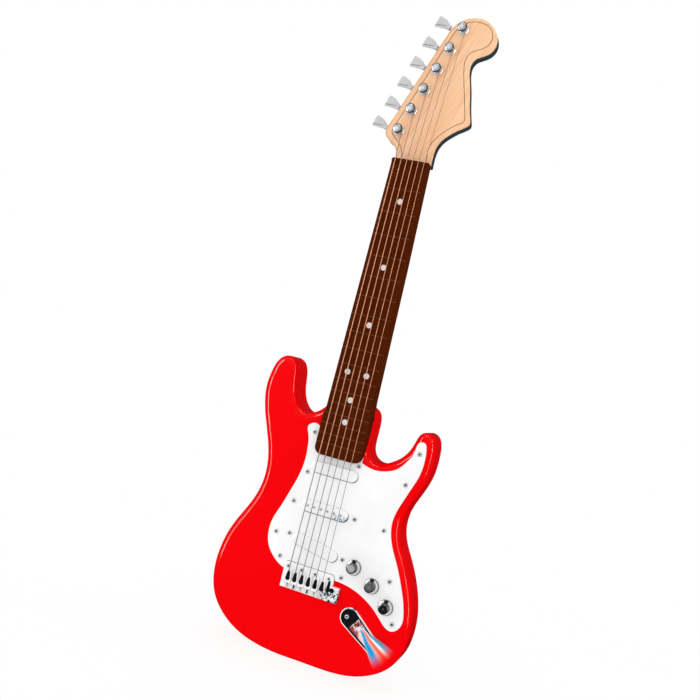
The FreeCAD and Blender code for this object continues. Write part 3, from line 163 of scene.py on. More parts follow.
class Shader:
    """A Principled material with helpers that add procedural detail in object coordinates."""

    def __init__(self, name, color, roughness, **sockets):
        self.material = bpy.data.materials.new(name)
        self.material.use_nodes = True
        self.tree = self.material.node_tree
        self.main = self.tree.nodes["Principled BSDF"]
        self.set("Base Color", (*color, 1.0))
        self.set("Roughness", roughness)
        for socket, value in sockets.items():
            self.set(socket.replace("_", " "), value)
        self.material.diffuse_color = (*color, 1.0)
        self.place = self.add("ShaderNodeTexCoord").outputs["Object"]

    def set(self, socket, value):
        self.main.inputs[socket].default_value = value

    def add(self, kind, **settings):
        node = self.tree.nodes.new(kind)
        for key, value in settings.items():
            setattr(node, key, value)
        return node

    def wire(self, source, target):
        self.tree.links.new(source, target)

    def stretched(self, scale, turn=(0.0, 0.0, 0.0)):
        """Coordinates scaled by axis, for grain that runs one way."""
        node = self.add("ShaderNodeMapping", vector_type="TEXTURE")
        node.inputs["Rotation"].default_value = turn
        node.inputs["Scale"].default_value = scale
        self.wire(self.place, node.inputs["Vector"])
        return node.outputs["Vector"]

    def noise(self, scale, detail=3.0, place=None, distortion=0.0, roughness=0.5):
        node = self.add("ShaderNodeTexNoise")
        node.inputs["Scale"].default_value = scale
        node.inputs["Detail"].default_value = detail
        node.inputs["Distortion"].default_value = distortion
        node.inputs["Roughness"].default_value = roughness
        self.wire(place or self.place, node.inputs["Vector"])
        return node.outputs["Fac"]

    def cells(self, scale):
        node = self.add("ShaderNodeTexVoronoi")
        node.inputs["Scale"].default_value = scale
        self.wire(self.place, node.inputs["Vector"])
        return node.outputs["Distance"]

    def bands(self, scale, axis="Z", distortion=0.0, place=None, profile="SIN"):
        node = self.add("ShaderNodeTexWave", bands_direction=axis, wave_profile=profile)
        node.inputs["Scale"].default_value = scale
        node.inputs["Distortion"].default_value = distortion
        node.inputs["Detail"].default_value = 2.0
        self.wire(place or self.place, node.inputs["Vector"])
        return node.outputs["Fac"]

    def axis(self, which, place=None):
        """The X, Y or Z of a place."""
        node = self.add("ShaderNodeSeparateXYZ")
        self.wire(place or self.place, node.inputs[0])
        return node.outputs[which]

    def length(self, vector):
        node = self.add("ShaderNodeVectorMath", operation="LENGTH")
        self.wire(vector, node.inputs[0])
        return node.outputs["Value"]

    def ramp(self, factor, stops):
        """Colour ramp; the stops are (position, (r, g, b))."""
        node = self.add("ShaderNodeValToRGB")
        points = node.color_ramp.elements
        while len(points) < len(stops):
            points.new(1.0)
        for point, (position, color) in zip(points, stops):
            point.position = position
            point.color = (*color, 1.0)
        self.wire(factor, node.inputs["Fac"])
        return node.outputs["Color"]

    def span(self, factor, low, high, start=0.0, end=1.0):
        """The factor from start to end, spread over low to high."""
        node = self.add("ShaderNodeMapRange")
        set_range(node, start, end, low, high)
        self.wire(factor, node.inputs["Value"])
        return node.outputs["Result"]

    def rise(self, factor, start, end):
        """0 up to where the factor is start, 1 from where it is end."""
        return self.span(factor, 0.0, 1.0, start, end)

    def fall(self, factor, start, end):
        """1 up to where the factor is start, 0 from where it is end."""
        return self.span(factor, 1.0, 0.0, start, end)

    def math(self, operation, a, b=0.0):
        node = self.add("ShaderNodeMath", operation=operation)
        for socket, value in zip(node.inputs, (a, b)):
            if isinstance(value, (int, float)):
                socket.default_value = value
            else:
                self.wire(value, socket)
        return node.outputs["Value"]

    def times(self, *factors):
        product = factors[0]
        for factor in factors[1:]:
            product = self.math("MULTIPLY", product, factor)
        return product

    def mix(self, factor, a, b, blend="MIX"):
        """Mix of two colours, each a colour or a socket."""
        node = self.add("ShaderNodeMix", data_type="RGBA", blend_type=blend)
        for socket, value in zip((node.inputs[0], node.inputs[6], node.inputs[7]), (factor, a, b)):
            if isinstance(value, (int, float)):
                socket.default_value = value
            elif isinstance(value, tuple):
                socket.default_value = (*value, 1.0)
            else:
                self.wire(value, socket)
        return node.outputs[2]

    def color(self, socket):
        self.wire(socket, self.main.inputs["Base Color"])

    def rough(self, factor, low, high):
        self.wire(self.span(factor, low, high), self.main.inputs["Roughness"])

    def bump(self, factor, depth_mm):
        node = self.add("ShaderNodeBump")
        node.inputs["Distance"].default_value = depth_mm * MM
        node.inputs["Strength"].default_value = 1.0
        self.wire(factor, node.inputs["Height"])
        self.wire(node.outputs["Normal"], self.main.inputs["Normal"])


# ---- Materials ----------------------------------------------------------------------------------
def gloss_red():
    s = Shader("gloss_red", (0.93, 0.0, 0.003), 0.07, Specular_IOR_Level=0.5)
    s.set("Specular Tint", (1.0, 0.3, 0.27, 1.0))
    cloud = s.noise(14.0, 2.0)
    s.color(s.ramp(cloud, [(0.3, (0.92, 0.0, 0.002)), (0.75, (0.96, 0.0, 0.003))]))
    s.rough(s.noise(220.0, 4.0), 0.05, 0.1)
    s.bump(s.noise(420.0, 2.0), 0.003)
    return s.material


def gloss_white(name, color, roughness):
    s = Shader(name, color, roughness, Specular_IOR_Level=0.4)
    shade = tuple(c * 0.95 for c in color)
    s.color(s.ramp(s.noise(30.0, 3.0), [(0.35, shade), (0.65, color)]))
    s.rough(s.noise(300.0, 4.0), roughness * 0.8, roughness * 1.3)
    s.bump(s.noise(900.0, 2.0), 0.004)
    return s.material


def moulded(name, color, roughness, grain_mm=0.02, specular=0.35):
    """Plain moulded plastic with a fine spark-eroded grain."""
    s = Shader(name, color, roughness, Specular_IOR_Level=specular)
    dark = tuple(c * 0.8 for c in color)
    s.color(s.ramp(s.noise(60.0, 4.0), [(0.3, dark), (0.7, color)]))
    s.rough(s.noise(500.0, 3.0), roughness * 0.85, min(1.0, roughness * 1.2))
    s.bump(s.cells(1500.0), grain_mm)
    return s.material


def board_brown():
    s = Shader("board_brown", (0.07, 0.012, 0.002), 0.5, Specular_IOR_Level=0.0)
    fibres = s.noise(1.0, 6.0, s.stretched((0.0012, 0.0012, 0.03)), distortion=0.4)
    pores = s.noise(1.0, 2.0, s.stretched((0.0005, 0.0005, 0.006)))
    tint = s.ramp(fibres, [(0.25, (0.056, 0.008, 0.001)), (0.5, (0.074, 0.012, 0.002)),
                           (0.8, (0.098, 0.018, 0.004))])
    s.color(s.mix(s.rise(pores, 0.62, 0.7), tint, (0.045, 0.007, 0.001)))
    s.rough(fibres, 0.4, 0.6)
    s.bump(pores, 0.02)
    return s.material


def fret_bronze():
    s = Shader("fret_bronze", (0.13, 0.035, 0.014), 0.5, Specular_IOR_Level=0.02)
    s.color(s.ramp(s.noise(400.0, 3.0), [(0.3, (0.11, 0.026, 0.009)), (0.7, (0.17, 0.05, 0.022))]))
    s.rough(s.noise(900.0, 2.0), 0.4, 0.6)
    return s.material


def head_wood():
    s = Shader("head_wood", (0.9, 0.6, 0.33), 0.42, Specular_IOR_Level=0.3)
    lean = (0.0, math.radians(20.0), 0.0)
    long_grain = s.stretched((0.0045, 0.02, 0.09), lean)
    rings = s.bands(1.0, "X", 5.0, s.stretched((0.011, 0.05, 0.16), lean))
    fibre = s.noise(1.0, 7.0, long_grain, distortion=0.3, roughness=0.6)
    fine = s.noise(1.0, 4.0, s.stretched((0.0007, 0.004, 0.016), lean))
    tone = s.ramp(fibre, [(0.28, (0.92, 0.47, 0.24)), (0.5, (0.97, 0.6, 0.35)),
                          (0.72, (0.98, 0.71, 0.46))])
    tone = s.mix(s.span(rings, 0.0, 0.5), tone, (0.92, 0.49, 0.26))
    s.color(s.mix(s.span(fine, 0.0, 0.4, 0.5, 0.75), tone, (0.72, 0.38, 0.17)))
    s.rough(fibre, 0.34, 0.5)
    s.bump(fine, 0.02)
    return s.material


def metal(name, color, low, high):
    """Plated metal, its roughness between low and high."""
    s = Shader(name, color, (low + high) / 2, Metallic=1.0)
    grain = s.noise(260.0, 4.0)
    dim = tuple(c * 0.82 for c in color)
    s.color(s.ramp(s.noise(90.0, 3.0), [(0.3, dim), (0.65, color)]))
    s.rough(grain, low, high)
    s.bump(grain, 0.004)
    return s.material


def string_metal():
    """Wound string: steel grey over the scratch plate and bronze over the board."""
    s = Shader("string_metal", (0.5, 0.4, 0.35), 0.4, Metallic=0.3)
    turns = s.bands(700.0, "Z")
    tint = s.mix(s.rise(s.axis("Z"), *STRING_BRONZE), (0.27, 0.27, 0.28), (0.72, 0.31, 0.17))
    tint = s.mix(s.rise(s.axis("Z"), *STRING_BROWN), tint, (0.5, 0.28, 0.24))
    s.color(s.mix(s.span(turns, 0.0, 0.5), tint, (0.1, 0.08, 0.07), "MULTIPLY"))
    s.rough(s.noise(500.0, 2.0), 0.35, 0.5)
    s.bump(turns, 0.03)
    return s.material


def plate_metal():
    """Bright plating of the bridge, with dark shapes painted at its lower right end as a reflection."""
    s = Shader("plate_metal", (0.96, 0.96, 0.97), 0.22, Specular_IOR_Level=0.5)
    # painted reflection: dark and bluish patches over the plate's lower right end
    painted_reflection_area = s.times(s.rise(s.axis("X"), 0.012, 0.02), s.fall(s.axis("Z"), 0.077, 0.082),
                          s.rise(s.axis("Z"), 0.064, 0.067))
    patch = s.noise(230.0, 3.0, distortion=1.5)
    dark = s.ramp(patch, [(0.42, (0.008, 0.01, 0.014)), (0.48, (0.2, 0.27, 0.34)),
                          (0.55, (0.86, 0.89, 0.92))])
    clean = s.ramp(s.noise(60.0, 2.0), [(0.3, (0.92, 0.93, 0.94)), (0.6, (0.98, 0.98, 0.98))])
    s.color(s.mix(painted_reflection_area, clean, dark))
    s.rough(s.noise(300.0, 3.0), 0.16, 0.28)
    return s.material


def shining_cover():
    """White cover with dark and bluish shapes painted at its lower right end as a reflection."""
    s = Shader("cover_shine", (0.95, 0.95, 0.96), 0.2, Specular_IOR_Level=0.4)
    middle = middle_of("pickup_cover_middle") * MM
    painted_reflection_area = s.times(s.rise(s.axis("X"), middle.x + 0.004, middle.x + 0.012),
                          s.fall(s.axis("Z"), middle.z - 0.003, middle.z + 0.001))
    # painted reflection: dark, bluish and white patches over the cover's lower right end
    patch = s.noise(300.0, 3.0, distortion=1.2)
    shine = s.ramp(patch, [(0.38, (0.12, 0.17, 0.22)), (0.47, (0.45, 0.56, 0.66)),
                           (0.56, (0.95, 0.96, 0.98))])
    s.color(s.mix(painted_reflection_area, (0.95, 0.95, 0.96), shine))
    s.rough(s.noise(300.0, 4.0), 0.15, 0.25)
    return s.material


def lens_clear():
    s = Shader("lens_clear", (0.96, 0.97, 1.0), 0.03, Transmission_Weight=1.0, IOR=1.45,
               Specular_IOR_Level=0.4)
    s.rough(s.noise(160.0, 3.0), 0.01, 0.06)
    s.bump(s.noise(60.0, 2.0), 0.02)
    return s.material


def printed_board():
    s = Shader("printed_board", (0.03, 0.26, 0.1), 0.4)
    tracks = s.cells(260.0)
    s.color(s.ramp(tracks, [(0.25, (0.02, 0.2, 0.07)), (0.32, (0.05, 0.36, 0.15))]))
    s.bump(tracks, 0.05)
    return s.material


def cell_foil():
    s = Shader("cell_foil", (0.05, 0.2, 0.13), 0.3, Metallic=0.3)
    band = s.bands(9.0, "Z", profile="SAW")
    s.color(s.ramp(band, [(0.0, (0.72, 0.55, 0.2)), (0.22, (0.72, 0.55, 0.2)),
                          (0.24, (0.03, 0.12, 0.08)), (1.0, (0.05, 0.2, 0.13))]))
    s.rough(s.noise(200.0, 3.0), 0.2, 0.4)
    return s.material


def radial(name, stops, roughness, metallic=0.3):
    """Tone that changes from the middle of a turned piece to its rim."""
    s = Shader(name, stops[0][1], roughness, Metallic=metallic, Specular_IOR_Level=0.4)
    reach = s.add("ShaderNodeAttribute", attribute_name="reach").outputs["Fac"]
    grain = s.span(s.noise(700.0, 3.0), -0.05, 0.05)
    s.color(s.ramp(s.math("ADD", reach, grain), stops))
    s.rough(s.noise(500.0, 2.0), roughness * 0.8, roughness * 1.2)
    return s.material


def fan_material(name, fading):
    """Coloured rays that spread from the diodes; fading ones thin out with distance."""
    s = Shader(name, (0.0, 0.0, 0.0), 0.5, Specular_IOR_Level=0.0)
    offset = s.add("ShaderNodeVectorMath", operation="SUBTRACT")
    s.wire(s.place, offset.inputs[0])
    offset.inputs[1].default_value = (LAMP_SOURCE[0] * MM, 0.0, LAMP_SOURCE[1] * MM)
    x, z = (s.axis(which, offset.outputs["Vector"]) for which in "XZ")
    angle = s.math("ARCTAN2", z, x)
    flat = s.add("ShaderNodeCombineXYZ")
    s.wire(x, flat.inputs["X"])
    s.wire(z, flat.inputs["Z"])
    reach = s.length(flat.outputs["Vector"])
    first, last = RAYS_SPAN
    rays = s.ramp(s.rise(angle, first, last),
                  [((math.radians(a) - first) / (last - first), color) for a, color in RAYS])
    if fading:
        body_red = (0.95, 0.002, 0.004)
        fade = s.math("POWER", s.fall(reach, 0.032, 0.046), 1.1)
        s.wire(s.mix(fade, body_red, rays), s.main.inputs["Emission Color"])
        low_side, high_side = ([math.radians(a) for a in side] for side in FAN_SIDES)
        seen = s.times(s.fall(reach, 0.037, 0.046), s.rise(reach, 0.014, 0.02),
                       s.rise(angle, *low_side), s.fall(angle, *high_side))
        s.wire(seen, s.main.inputs["Alpha"])
    else:
        near = s.rise(reach, 0.005, 0.0095)
        patch = s.noise(230.0, 3.0, distortion=0.8)
        dark = s.ramp(patch, [(0.41, (0.05, 0.01, 0.01)), (0.48, (0.4, 0.06, 0.05)),
                              (0.55, (0.97, 0.86, 0.85))])
        s.wire(s.mix(near, dark, rays), s.main.inputs["Emission Color"])
        s.bump(s.noise(300.0, 3.0), 0.03)
    s.set("Emission Strength", 1.0)
    return s.material


GLOSSY = {                         # colour, roughness
    "guard_white": ((0.98, 0.98, 0.98), 0.24),
    "cover_white": ((0.95, 0.95, 0.96), 0.2),
    "key_grey": ((0.6, 0.6, 0.62), 0.3),
    "key_shade": ((0.25, 0.25, 0.26), 0.4),
    "dot_pearl": ((0.75, 0.73, 0.7), 0.2),
    "lamp_pale": ((0.85, 0.72, 0.7), 0.25),
    "led_epoxy": ((0.75, 0.8, 0.9), 0.2),
    "screw_flange": ((0.7, 0.7, 0.7), 0.3)}
MOULDED = {                        # colour, roughness, grain in millimetres, specular level
    "head_slate": ((0.03, 0.055, 0.075), 0.4, 0.01),
    "lamp_black": ((0.004, 0.005, 0.009), 0.3, 0.004, 0.15),
    "speaker_black": ((0.02, 0.02, 0.02), 0.6),
    "box_black": ((0.02, 0.02, 0.02), 0.5),
    "switch_black": ((0.015, 0.015, 0.015), 0.45),
    "wire_pvc": ((0.5, 0.05, 0.04), 0.45, 0.005),
    "gap_blue": ((0.1, 0.14, 0.18), 0.5),
    "gap_red": ((0.12, 0.0, 0.001), 0.5),
    "gap_grey": ((0.16, 0.17, 0.18), 0.6),
    "gap_pale": ((0.42, 0.43, 0.45), 0.6),
    "line_ink": ((0.1, 0.05, 0.02), 0.5, 0.005),
    "line_soft": ((0.38, 0.2, 0.1), 0.5, 0.005),
    "screw_dark": ((0.04, 0.04, 0.045), 0.4, 0.005)}
METALS = {                         # colour, lowest and highest roughness
    "knob_metal": ((0.1, 0.105, 0.11), 0.2, 0.3),
    "steel": ((0.3, 0.31, 0.33), 0.3, 0.45),
    "post_dark": ((0.12, 0.125, 0.14), 0.3, 0.4),
    "contact_metal": ((0.78, 0.72, 0.5), 0.2, 0.35),
    "pot_metal": ((0.6, 0.6, 0.6), 0.3, 0.45)}
TURNED = {                         # tones from the middle to the rim, roughness, metallic
    "knob_skirt": ([(0.5, (0.5, 0.52, 0.54)), (0.62, (0.86, 0.87, 0.88)),
                    (0.9, (0.92, 0.93, 0.94)), (0.97, (0.4, 0.41, 0.43))], 0.25, 0.1),
    "post_metal": ([(0.0, (0.75, 0.76, 0.78)), (1.0, (0.82, 0.83, 0.85))], 0.3),
    # painted reflection: blue-grey face of a post with a bright middle and darker rings
    "post_blue": ([(0.0, (0.8, 0.85, 0.93)), (0.5, (0.66, 0.72, 0.8)), (0.62, (0.36, 0.38, 0.41)),
                   (0.85, (0.5, 0.51, 0.54)), (1.0, (0.24, 0.25, 0.27))], 0.3)}


def make_materials():
    """Every material, by the material slot or the finish that asks for it."""
    made = {"body_red": gloss_red(), "cover_shine": shining_cover(), "neck_brown": board_brown(),
            "fret_bronze": fret_bronze(), "head_wood": head_wood(), "chrome": plate_metal(),
            "string_steel": string_metal(), "lamp_lens": lens_clear(),
            "board_green": printed_board(), "cell_foil": cell_foil(),
            "lamp_rays": fan_material("lamp_rays", False)}
    for make, table in ((gloss_white, GLOSSY), (moulded, MOULDED), (metal, METALS),
                        (radial, TURNED)):
        for name, settings in table.items():
            made[name] = make(name, *settings)
    # Each knob's top gets its own copy of the material: its grey is a painted reflection, lighter in the middle
    # and darker at the rim.
    for name, tone in KNOB_TONES.items():
        rings = [(0.0, tone + 0.25), (0.25, tone), (0.8, tone * 0.9), (1.0, tone * 0.5)]
        finish = "knob_top_" + name
        made[finish] = radial(finish, [(place, (grey,) * 3) for place, grey in rings], 0.25)
    return made


materials = make_materials()
OWN_FINISH = {"bridge_screws": "screw_flange"}     # CAD nodes that don't take their slot's material


def dress_cad_nodes():
    """Gives each CAD node the material of its slot, or its own."""
    for name, node in nodes.items():
        node.data.materials.clear()
        node.data.materials.append(materials[OWN_FINISH.get(name, slots_of_nodes[name])])


# ---- Mesh helpers -------------------------------------------------------------------------------
def new_mesh(name, skin):
    """Mesh of a skin, which is a pair of its points, in millimetres, and its faces."""
    points, faces = skin
    mesh = bpy.data.meshes.new(name)
    mesh.from_pydata([Vector(p) * MM for p in points], [], faces)
    return mesh


def place_object(name, data):
    item = bpy.data.objects.new(name, data)
    bpy.context.scene.collection.objects.link(item)
    return item


def add_piece(name, skin, node, finish, replaces=(), sharp=35.0):
    """New piece from a skin, which rides with the body of a CAD node."""
    mesh = new_mesh(name, skin)
    tidy = bmesh.new()
    tidy.from_mesh(mesh)
    bmesh.ops.remove_doubles(tidy, verts=tidy.verts, dist=1e-7)
    bmesh.ops.recalc_face_normals(tidy, faces=tidy.faces)
    tidy.to_mesh(mesh)
    tidy.free()
    mesh.shade_smooth()
    mesh.set_sharp_from_angle(angle=math.radians(sharp))
    piece = place_object(name, mesh)
    mesh.materials.append(materials[finish])
    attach(piece, bodies_of_nodes[node])
    if replaces:
        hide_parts(*replaces)
    return piece


def lathe(profile, segments, ripple=None):
    """Surface of revolution: (radius, height) along +Z; ripple(radius, height, angle) is added."""
    points, faces = [], []
    for radius, height in profile:
        for i in range(segments):
            angle = 2 * math.pi * i / segments
            reach = radius + (ripple(radius, height, angle) if ripple else 0.0)
            points.append(Vector((reach * math.cos(angle), reach * math.sin(angle), height)))
    for row in range(len(profile) - 1):
        for i in range(segments):
            j = (i + 1) % segments
            a, b = row * segments, (row + 1) * segments
            faces.append((a + i, a + j, b + j, b + i))
    if profile[0][0] > 0:
        faces.append(tuple(range(segments)))
    if profile[-1][0] > 0:
        faces.append(tuple(len(points) - segments + i for i in range(segments)))
    return points, faces


def aimed(skin, origin, way=FRONT_WAY):
    """Moves a skin from a frame along +Z to one that starts at origin and runs along way."""
    points, faces = skin
    along = way.normalized()
    side = Z_AXIS.cross(along)
    side = side.normalized() if side.length > 1e-6 else X_AXIS
    other = along.cross(side)
    return [Vector(origin) + side * p.x + other * p.y + along * p.z for p in points], faces


def merged(skins):
    """Several skins as one."""
    points, faces = [], []
    for some_points, some_faces in skins:
        start = len(points)
        points += some_points
        faces += [tuple(i + start for i in face) for face in some_faces]
    return points, faces


# ---- Knobs, pickups and bridge ------------------------------------------------------------------
def string_x(index, z):
    """Where a string crosses height z, from its saddle to the nut."""
    share = (z - BRIDGE_STRING_Z) / (NUT_Z - BRIDGE_STRING_Z)
    middle = (STRING_COUNT - 1) / 2
    return (index - middle) * (BRIDGE_PITCH + share * (NUT_PITCH - BRIDGE_PITCH))


def make_knob(which):
    """Skirted knob: pale skirt with a black mark, ribbed dark cap and a dished grey top, on a ring of painted
    shadow.
    """
    node = "knob_" + which
    place = middle_of(node)
    origin = Vector((place.x, GUARD_TOP, place.z))

    def ribbed(radius, height, angle):
        on_flank = 4.3 < height < 9.0 and radius > 4.0
        return 0.14 * math.cos(KNOB_RIBS * angle) if on_flank else 0.0

    def part(label, profile, finish, shift=(0.0, 0.0), ripple=None, replaces=()):
        spot = origin + Vector((shift[0], 0, shift[1]))
        skin = aimed(lathe(profile, 6 * KNOB_RIBS, ripple), spot)
        piece = add_piece(f"{node}_{label}", skin, node, finish, replaces)
        mark_reach(piece, spot, profile)

    # painted shadow: grey ring round the foot of the skirt, set off towards the right
    part("foot_shadow", [(7.2, 0.03), (7.7, 0.03), (7.6, 0.3), (7.2, 0.35)], "gap_grey", (0.2, -0.1))
    part("skirt", [(3.0, 0.4), (7.0, 0.4), (7.3, 0.7), (7.3, 1.9), (7.15, 2.2), (6.7, 2.4),
                   (6.5, 2.35), (5.6, 2.5), (4.9, 2.9), (4.0, 2.9)], "knob_skirt")
    part("cap", [(0.0, 7.0), (3.0, 7.0), (3.0, 2.6), (5.2, 2.6), (5.25, 3.2), (5.1, 4.4),
                 (4.95, 9.0), (4.8, 9.4), (4.4, 9.75), (4.0, 9.85), (0.0, 9.7)], "knob_metal",
         ripple=ribbed, replaces=[node])
    part("top", [(3.95, 9.6), (3.95, 9.88), (3.8, 9.95), (3.5, 9.9), (2.3, 9.85), (1.7, 9.86),
                 (1.3, 9.95), (0.0, 10.0)], "knob_top_" + which, (0.3, 0.35))
    mark = tab(1.9, [(4.9, 2.6), (4.9, 4.1), (5.4, 3.9), (7.0, 2.75), (7.4, 2.4), (7.4, 1.6)])
    add_piece(f"{node}_mark", aimed(mark, origin), node, "lamp_black")


def tab(half, outline):
    """Solid from -half to half along X, from a (y, z) outline, with its edges broken."""
    bevel, shrunk = 0.18, 0.9
    cy = sum(y for y, z in outline) / len(outline)
    cz = sum(z for y, z in outline) / len(outline)
    sides = ((-half, shrunk), (-half + bevel, 1.0), (half - bevel, 1.0), (half, shrunk))
    return stacked([[(x, cy + (y - cy) * scale, cz + (z - cz) * scale) for y, z in outline]
                    for x, scale in sides])


def stadium(length, width, steps=14):
    """Outline with round ends about the origin, along X, as (x, z)."""
    half, radius = (length - width) / 2, width / 2
    ring = []
    for side in (1, -1):
        for i in range(steps + 1):
            angle = math.pi * (i / steps - 0.5)
            ring.append((side * (half + radius * math.cos(angle)), side * radius * math.sin(angle)))
    return ring


def stacked(rings, close=True):
    """Skin over rings of equal count, each a list of points; the ends are closed or left open."""
    count = len(rings[0])
    points = [Vector(p) for ring in rings for p in ring]
    faces = []
    for row in range(len(rings) - 1):
        for i in range(count):
            j, a, b = (i + 1) % count, row * count, (row + 1) * count
            faces.append((a + i, a + j, b + j, b + i))
    if close:
        faces += [tuple(range(count)), tuple(len(points) - count + i for i in range(count))]
    return points, faces


def mark_reach(piece, centre, profile):
    """Stores each point's share of the way from the centre to the rim, seen along Y."""
    radius = max(radius for radius, height in profile)
    reach = piece.data.attributes.new("reach", "FLOAT", "POINT")
    for vertex, item in zip(piece.data.vertices, reach.data):
        offset = vertex.co / MM - centre
        item.value = math.hypot(offset.x, offset.z) / radius


def make_pickup(which):
    """Crowned cover, a thin dark gap round it widened along its lower side as a painted shadow, and six pole dots.
    """
    node = "pickup_cover_" + which
    place = middle_of(node)
    turn = math.radians(PICKUP_TURN[which])
    cos, sin = math.cos(turn), math.sin(turn)

    def on_guard(x, z, height):
        return Vector((place.x + x * cos - z * sin, GUARD_TOP - height,
                       place.z + x * sin + z * cos))

    def ring(grow, height, drop=0.0):
        outline = stadium(PICKUP_LENGTH + 2 * grow, PICKUP_WIDTH + 2 * grow)
        return [on_guard(x + 0.4 * drop, z - drop, height) for x, z in outline]

    shining = which == "middle"
    profile = [(0, 0.0), (0, 2.5), (-0.1, 2.95), (-0.35, 3.3), (-0.8, 3.5), (-1.5, 3.58),
               (-4.8, 3.6)]
    add_piece(f"{node}_shell", stacked([ring(*row) for row in profile]), node,
              "cover_shine" if shining else "cover_white", [node])
    # The ring round the cover is a thin gap and a painted shadow: it is shifted down so that it is wider below the
    # cover, and bluish under the middle pickup.
    drop = 0.75 if shining else 0.55
    gap_and_shadow = [(0.0, 0.0, 0.0), (0.0, 0.16, 0.0), (0.3, 0.16, drop), (0.4, 0.0, drop)]
    add_piece(f"{node}_gap", stacked([ring(*row) for row in gap_and_shadow], close=False), node,
              "gap_blue" if shining else "gap_grey")
    dot = lathe([(1.3, 3.4), (1.3, 3.68), (1.2, 3.8), (0.0, 3.9)], 20)
    dots = [aimed(dot, on_guard(string_x(i, place.z), 0, 0)) for i in range(STRING_COUNT)]
    add_piece(f"{node}_poles", merged(dots), node, "gap_pale" if shining else "cover_white")


def separate_boxes(node):
    """Low and high corners, in millimetres, of each separate solid of a CAD node."""
    solids = bmesh.new()
    solids.from_mesh(nodes[node].data)
    solids.transform(nodes[node].matrix_world)
    bmesh.ops.remove_doubles(solids, verts=solids.verts, dist=1e-6)
    seen, boxes = set(), []
    for first in solids.verts:
        if first in seen:
            continue
        seen.add(first)
        queue, group = [first], []
        while queue:
            vertex = queue.pop()
            group.append(vertex.co / MM)
            for edge in vertex.link_edges:
                other = edge.other_vert(vertex)
                if other not in seen:
                    seen.add(other)
                    queue.append(other)
        boxes.append(tuple(Vector(pick(p[i] for p in group) for i in range(3))
                           for pick in (min, max)))
    solids.free()
    return boxes


def make_screw_heads(node):
    """Pale flange and a dark middle, painted as shade in the recess, on each screw that faces the front."""
    flanges, middles = [], []
    for low, high in separate_boxes(node):
        radius = (high.x - low.x) / 2
        seen_round = abs((high.z - low.z) / 2 - radius) <= 0.1
        if not seen_round:
            continue
        spot = Vector(((low.x + high.x) / 2, low.y, (low.z + high.z) / 2))
        inner = radius * SCREW_RECESS
        points, faces = lathe([(inner, 0.01), (inner, 0.08), (radius * 0.9, 0.05), (radius, -0.1),
                               (radius + 0.02, -0.5)], 24)
        flanges.append(aimed((points, faces[:-2]), spot))      # open at both ends
        # painted shade: dark disc in the middle of the head, where its recess is
        middles.append(aimed(lathe([(inner, 0.01), (inner * 0.8, 0.05), (0.0, 0.02)], 24), spot))
    add_piece(f"{node}_flanges", merged(flanges), node, "screw_flange")
    add_piece(f"{node}_middles", merged(middles), node, "screw_dark")


def drop_ring(x, low, high, height, steps=10):
    """Drop-shaped outline that hangs down: (z, radius) of its wide and its narrow end."""
    (z1, r1), (z2, r2) = low, high
    lean = math.asin((r1 - r2) / (z2 - z1))
    ring = []
    for i in range(steps + 1):
        angle = math.pi - lean + (math.pi + 2 * lean) * i / steps
        ring.append((x + r1 * math.cos(angle), -height, z1 + r1 * math.sin(angle)))
    for i in range(steps + 1):
        angle = lean + (math.pi - 2 * lean) * i / steps
        ring.append((x + r2 * math.cos(angle), -height, z2 + r2 * math.sin(angle)))
    return ring


def ribbon(track, half, level, thickness):
    """Flat band along (x, z) points at a level in Y; it ends square."""
    points, faces = [], []
    for i, place in enumerate(track):
        way = track[min(i + 1, len(track) - 1)] - track[max(i - 1, 0)]
        side = Vector((-way.y, way.x)).normalized()
        for reach, lift in ((-half, 0.0), (-0.7 * half, thickness), (0.7 * half, thickness),
                            (half, 0.0)):
            spot = place + side * reach
            points.append(Vector((spot.x, level - lift, spot.y)))
    for i in range(len(track) - 1):
        for k in range(4):
            m = (k + 1) % 4
            faces.append((4 * i + k, 4 * i + m, 4 * i + 4 + m, 4 * i + 4 + k))
    last = 4 * (len(track) - 1)
    faces += [(0, 1, 2, 3), (last, last + 1, last + 2, last + 3)]
    return points, faces


def make_saddles():
    """Cast saddles with a drop-shaped mouth, a raised lip round it and a dark bed inside, which is painted shade
    in the mouth.
    """
    low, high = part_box("bridge_saddles")
    bottom, top = -high.y / MM, -low.y / MM
    middle, half_height = (low.z + high.z) / (2 * MM), (high.z - low.z) / (2 * MM)
    half_width = BRIDGE_PITCH / 2 - 0.35

    def mouth(x, grow, height):
        (z1, r1), (z2, r2) = SADDLE_WIDE, SADDLE_NARROW
        return drop_ring(x, (z1, r1 + grow), (z2, r2 + grow), height)

    def block(x, inset, height):
        """Rectangle round the saddle, with as many points as the mouth's outline."""
        ring = []
        for px, _, pz in mouth(x, 0.0, height):
            across = (px - x) / (half_width - inset)
            along = (pz - SADDLE_MIDDLE) / (half_height - inset)
            share = max(abs(across), abs(along))
            ring.append((x + (px - x) / share, -height, middle + (pz - SADDLE_MIDDLE) / share))
        return ring

    shells, shade_beds = [], []
    for i in range(STRING_COUNT):
        x = string_x(i, BRIDGE_STRING_Z)
        outer = ((0.0, bottom), (0.0, top - 1.0), (0.25, top - 0.45), (0.8, top - 0.1))
        inner = ((0.5, top - 0.1), (0.2, top), (0.0, top - 0.25), (0.0, bottom))
        # floor rows make the dark bed, painted shade inside each mouth
        floor = ((0.1, top - 0.5), (-0.6, top - 0.9), (-0.6, bottom))
        shells.append(stacked([block(x, *row) for row in outer] + [mouth(x, *row) for row in inner],
                              close=False))
        shade_beds.append(stacked([mouth(x, *row) for row in floor]))
    add_piece("saddle_blocks", merged(shells), "bridge_saddles", "chrome", ["bridge_saddles"])
    add_piece("saddle_shade_beds", merged(shade_beds), "bridge_saddles", "lamp_black")


